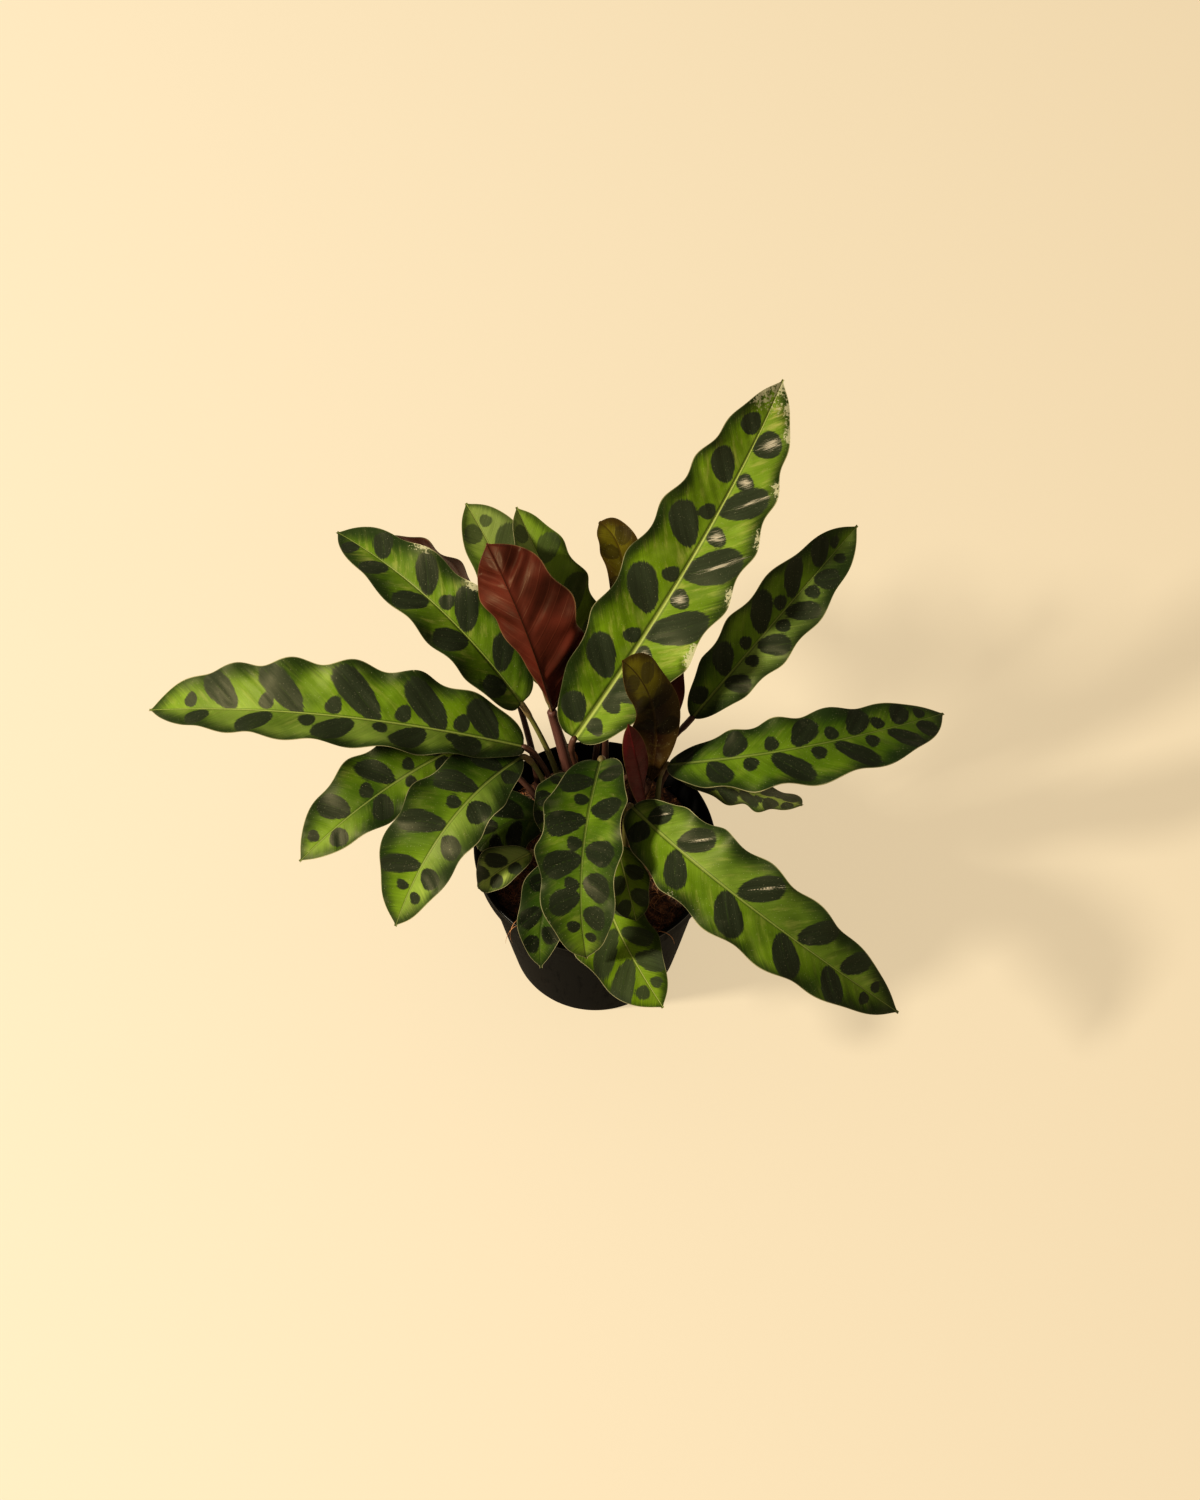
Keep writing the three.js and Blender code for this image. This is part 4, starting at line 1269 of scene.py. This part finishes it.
def make_pot_and_soil(plastic, peat, bark, fibre):
    """The pot, its filling, and the crumbs and fibres that lie on it or hang over the rim."""
    new_piece("nursery_pot", drilled_pot_mesh(), [plastic], "pot_plastic", "pot")
    soil = soil_mesh()
    new_piece("peat_fill", soil, [peat], "peat", "soil")
    crumbs = grown_mesh(
        "peat_crumbs",
        soil_top_only(soil),
        crumb_tree(),
        {
            "Density": float(CRUMBS_PER_SQUARE_METRE), "Seed": 11, "Smallest": (0.7, 0.5, 0.4),
            "Largest": (3.4, 2.2, 1.5), "Material": bark,
        },
    )
    new_piece("peat_crumbs", crumbs, [], "peat")
    threads = grown_mesh(
        "coir_fibres",
        soil_top_only(soil),
        fibre_tree(),
        {
            "Density": float(FIBRES_PER_SQUARE_METRE), "Seed": 29, "Smallest": (3.0, 3.0, 3.0),
            "Largest": (13.0, 13.0, 9.0), "Material": fibre,
        },
    )
    new_piece("coir_fibres", threads, [], "peat")
    new_piece("coir_strands", strand_mesh("coir_strands"), [fibre], "peat")


def make_stage():
    """A cream floor that also glows a little, more on its left, so that shadows on it stay faint."""
    floor_mesh = bpy.data.meshes.new("floor")
    far = FLOOR_REACH
    corners = [(-far, -far, 0), (far, -far, 0), (far, far, 0), (-far, far, 0)]
    floor_mesh.from_pydata(corners, [], [(0, 1, 2, 3)])
    floor = loose_object("floor", floor_mesh)
    cream = bpy.data.materials.new("cream floor")
    cream.use_nodes = True
    nodes = Nodes(cream.node_tree)
    principled = cream.node_tree.nodes["Principled BSDF"]
    principled.inputs["Base Color"].default_value = FLOOR_COLOUR
    principled.inputs["Roughness"].default_value = 0.9
    principled.inputs["Specular IOR Level"].default_value = 0.1
    principled.inputs["Emission Strength"].default_value = 1.0
    place = nodes.add("ShaderNodeSeparateXYZ", {0: nodes.add("ShaderNodeTexCoord").outputs["Object"]})
    to_right = nodes.fade(place.outputs["X"], -FLOOR_FADE, FLOOR_FADE)
    glow = nodes.blend(to_right, FLOOR_GLOW_LEFT, FLOOR_GLOW_RIGHT)
    cream.node_tree.links.new(glow, principled.inputs["Emission Color"])
    floor_mesh.materials.append(cream)


def make_lights():
    """A small key from the front left, and an even warm light all round."""
    key = bpy.data.lights.new("key", "AREA")
    key.shape = "DISK"
    key.size = KEY_SIZE
    key.energy = KEY_POWER
    key.color = KEY_COLOUR
    lamp = loose_object("key", key)
    around, up = math.radians(KEY_AROUND), math.radians(KEY_UP)
    towards = Vector((math.cos(around) * math.cos(up), math.sin(around) * math.cos(up), math.sin(up)))
    lamp.location = Vector(LIT_PLACE) + KEY_DISTANCE * towards
    lamp.rotation_euler = towards.to_track_quat("Z", "Y").to_euler()
    world = bpy.data.worlds.new("studio")
    world.use_nodes = True
    world.node_tree.nodes["Background"].inputs["Color"].default_value = WORLD_COLOUR
    world.node_tree.nodes["Background"].inputs["Strength"].default_value = WORLD_STRENGTH
    bpy.context.scene.world = world
    bpy.context.scene.view_settings.view_transform = "Standard"
    bpy.context.scene.view_settings.look = "Medium High Contrast"


def make_camera():
    """The photograph's view: from the front, looking steeply down through a long lens."""
    camera = bpy.data.cameras.new("camera")
    camera.lens = CAMERA_LENS
    camera.sensor_width = SENSOR_WIDTH
    holder = loose_object("camera", camera)
    holder.location = CAMERA_PLACE
    holder.rotation_euler = (math.radians(CAMERA_TILT), 0, 0)
    bpy.context.scene.camera = holder


def make_skins(underside):
    """Upper and under material for grown and for young blades."""
    pattern = blade_pattern_group()
    green = new_material("patterned blade", pattern, UPPER_SIDE, relief=0.25, **SATIN)
    olive = new_material(
        "young blade",
        pattern,
        UPPER_SIDE,
        {
            "Old green": (0.012, 0.0035, 0.002, 1), "Fresh green": (0.18, 0.155, 0.008, 1),
            "Pale green": (0.2, 0.18, 0.012, 1), "Mark colour": (0.022, 0.014, 0.004, 1),
            "Band colour": (0.045, 0.026, 0.005, 1), "Rib colour": (0.05, 0.025, 0.008, 1),
            "Margin colour": (0.12, 0.07, 0.03, 1), "Mark strength": 0.6,
        },
        relief=0.25,
        **SATIN,
    )
    maroon = new_material("maroon underside", underside, UNDERSIDE, relief=0.35, **SATIN)
    crimson = new_material(
        "crimson underside",
        underside,
        UNDERSIDE,
        {
            "Flesh": (0.1, 0.01, 0.013, 1), "Dark flesh": (0.018, 0.003, 0.003, 1),
            "Vein colour": (0.06, 0.01, 0.01, 1), "Rib colour": (0.03, 0.006, 0.005, 1),
        },
        relief=0.35,
        **SATIN,
    )
    return {"green": [green, maroon], "young": [olive, crimson]}


def make_stalk_skins():
    """The stalks' materials, and the sheathed column's."""
    skin = stalk_skin_group()
    olive = new_material("olive stalk", skin, STALK_SKIN, Specular_IOR_Level=0.3)
    purple = new_material(
        "purple stalk",
        skin,
        STALK_SKIN,
        {
            "Skin": (0.06, 0.025, 0.014, 1), "Shade": (0.024, 0.01, 0.008, 1),
            "Cushion colour": (0.08, 0.035, 0.022, 1),
        },
        Specular_IOR_Level=0.3,
    )
    sheath = new_material(
        "sheath",
        skin,
        STALK_SKIN,
        {"Skin": (0.085, 0.034, 0.025, 1), "Shade": (0.04, 0.014, 0.012, 1)},
        Specular_IOR_Level=0.3,
    )
    return {"olive": olive, "purple": purple, "sheath": sheath}


def make_dry_bract(underside):
    """The dry bract at the sheathed column's foot, a small blade that is papery on both sides."""
    papery = new_material(
        "dry bract",
        underside,
        UNDERSIDE,
        {
            "Flesh": (0.42, 0.17, 0.035, 1), "Dark flesh": (0.2, 0.07, 0.02, 1),
            "Vein colour": (0.5, 0.25, 0.08, 1), "Rib colour": (0.3, 0.12, 0.03, 1),
            "Margin colour": (0.3, 0.16, 0.06, 1),
        },
    )
    scale = blade_mesh("dry_scale", BRACT, seed=BRACT_SEED)
    new_piece("dry_scale", scale, [papery, papery], "dry_bract", "dry_bract")


make_camera()
make_lights()
make_stage()
underside = underside_group()
make_leaves(make_skins(underside), make_stalk_skins())
make_dry_bract(underside)
crumble = crumble_group()
make_pot_and_soil(
    new_material("black plastic", worn_plastic_group(), relief=0.15, Specular_IOR_Level=0.07),
    new_material("peat", crumble, relief=0.9, depth=0.001),
    new_material("bark", crumble, values={"Warm": (0.38, 0.16, 0.065, 1), "Scale": 1400.0}, relief=0.7),
    new_material(
        "fibre",
        crumble,
        values={"Dark": (0.24, 0.11, 0.045, 1), "Warm": (0.55, 0.28, 0.12, 1), "Scale": 700.0},
    ),
)
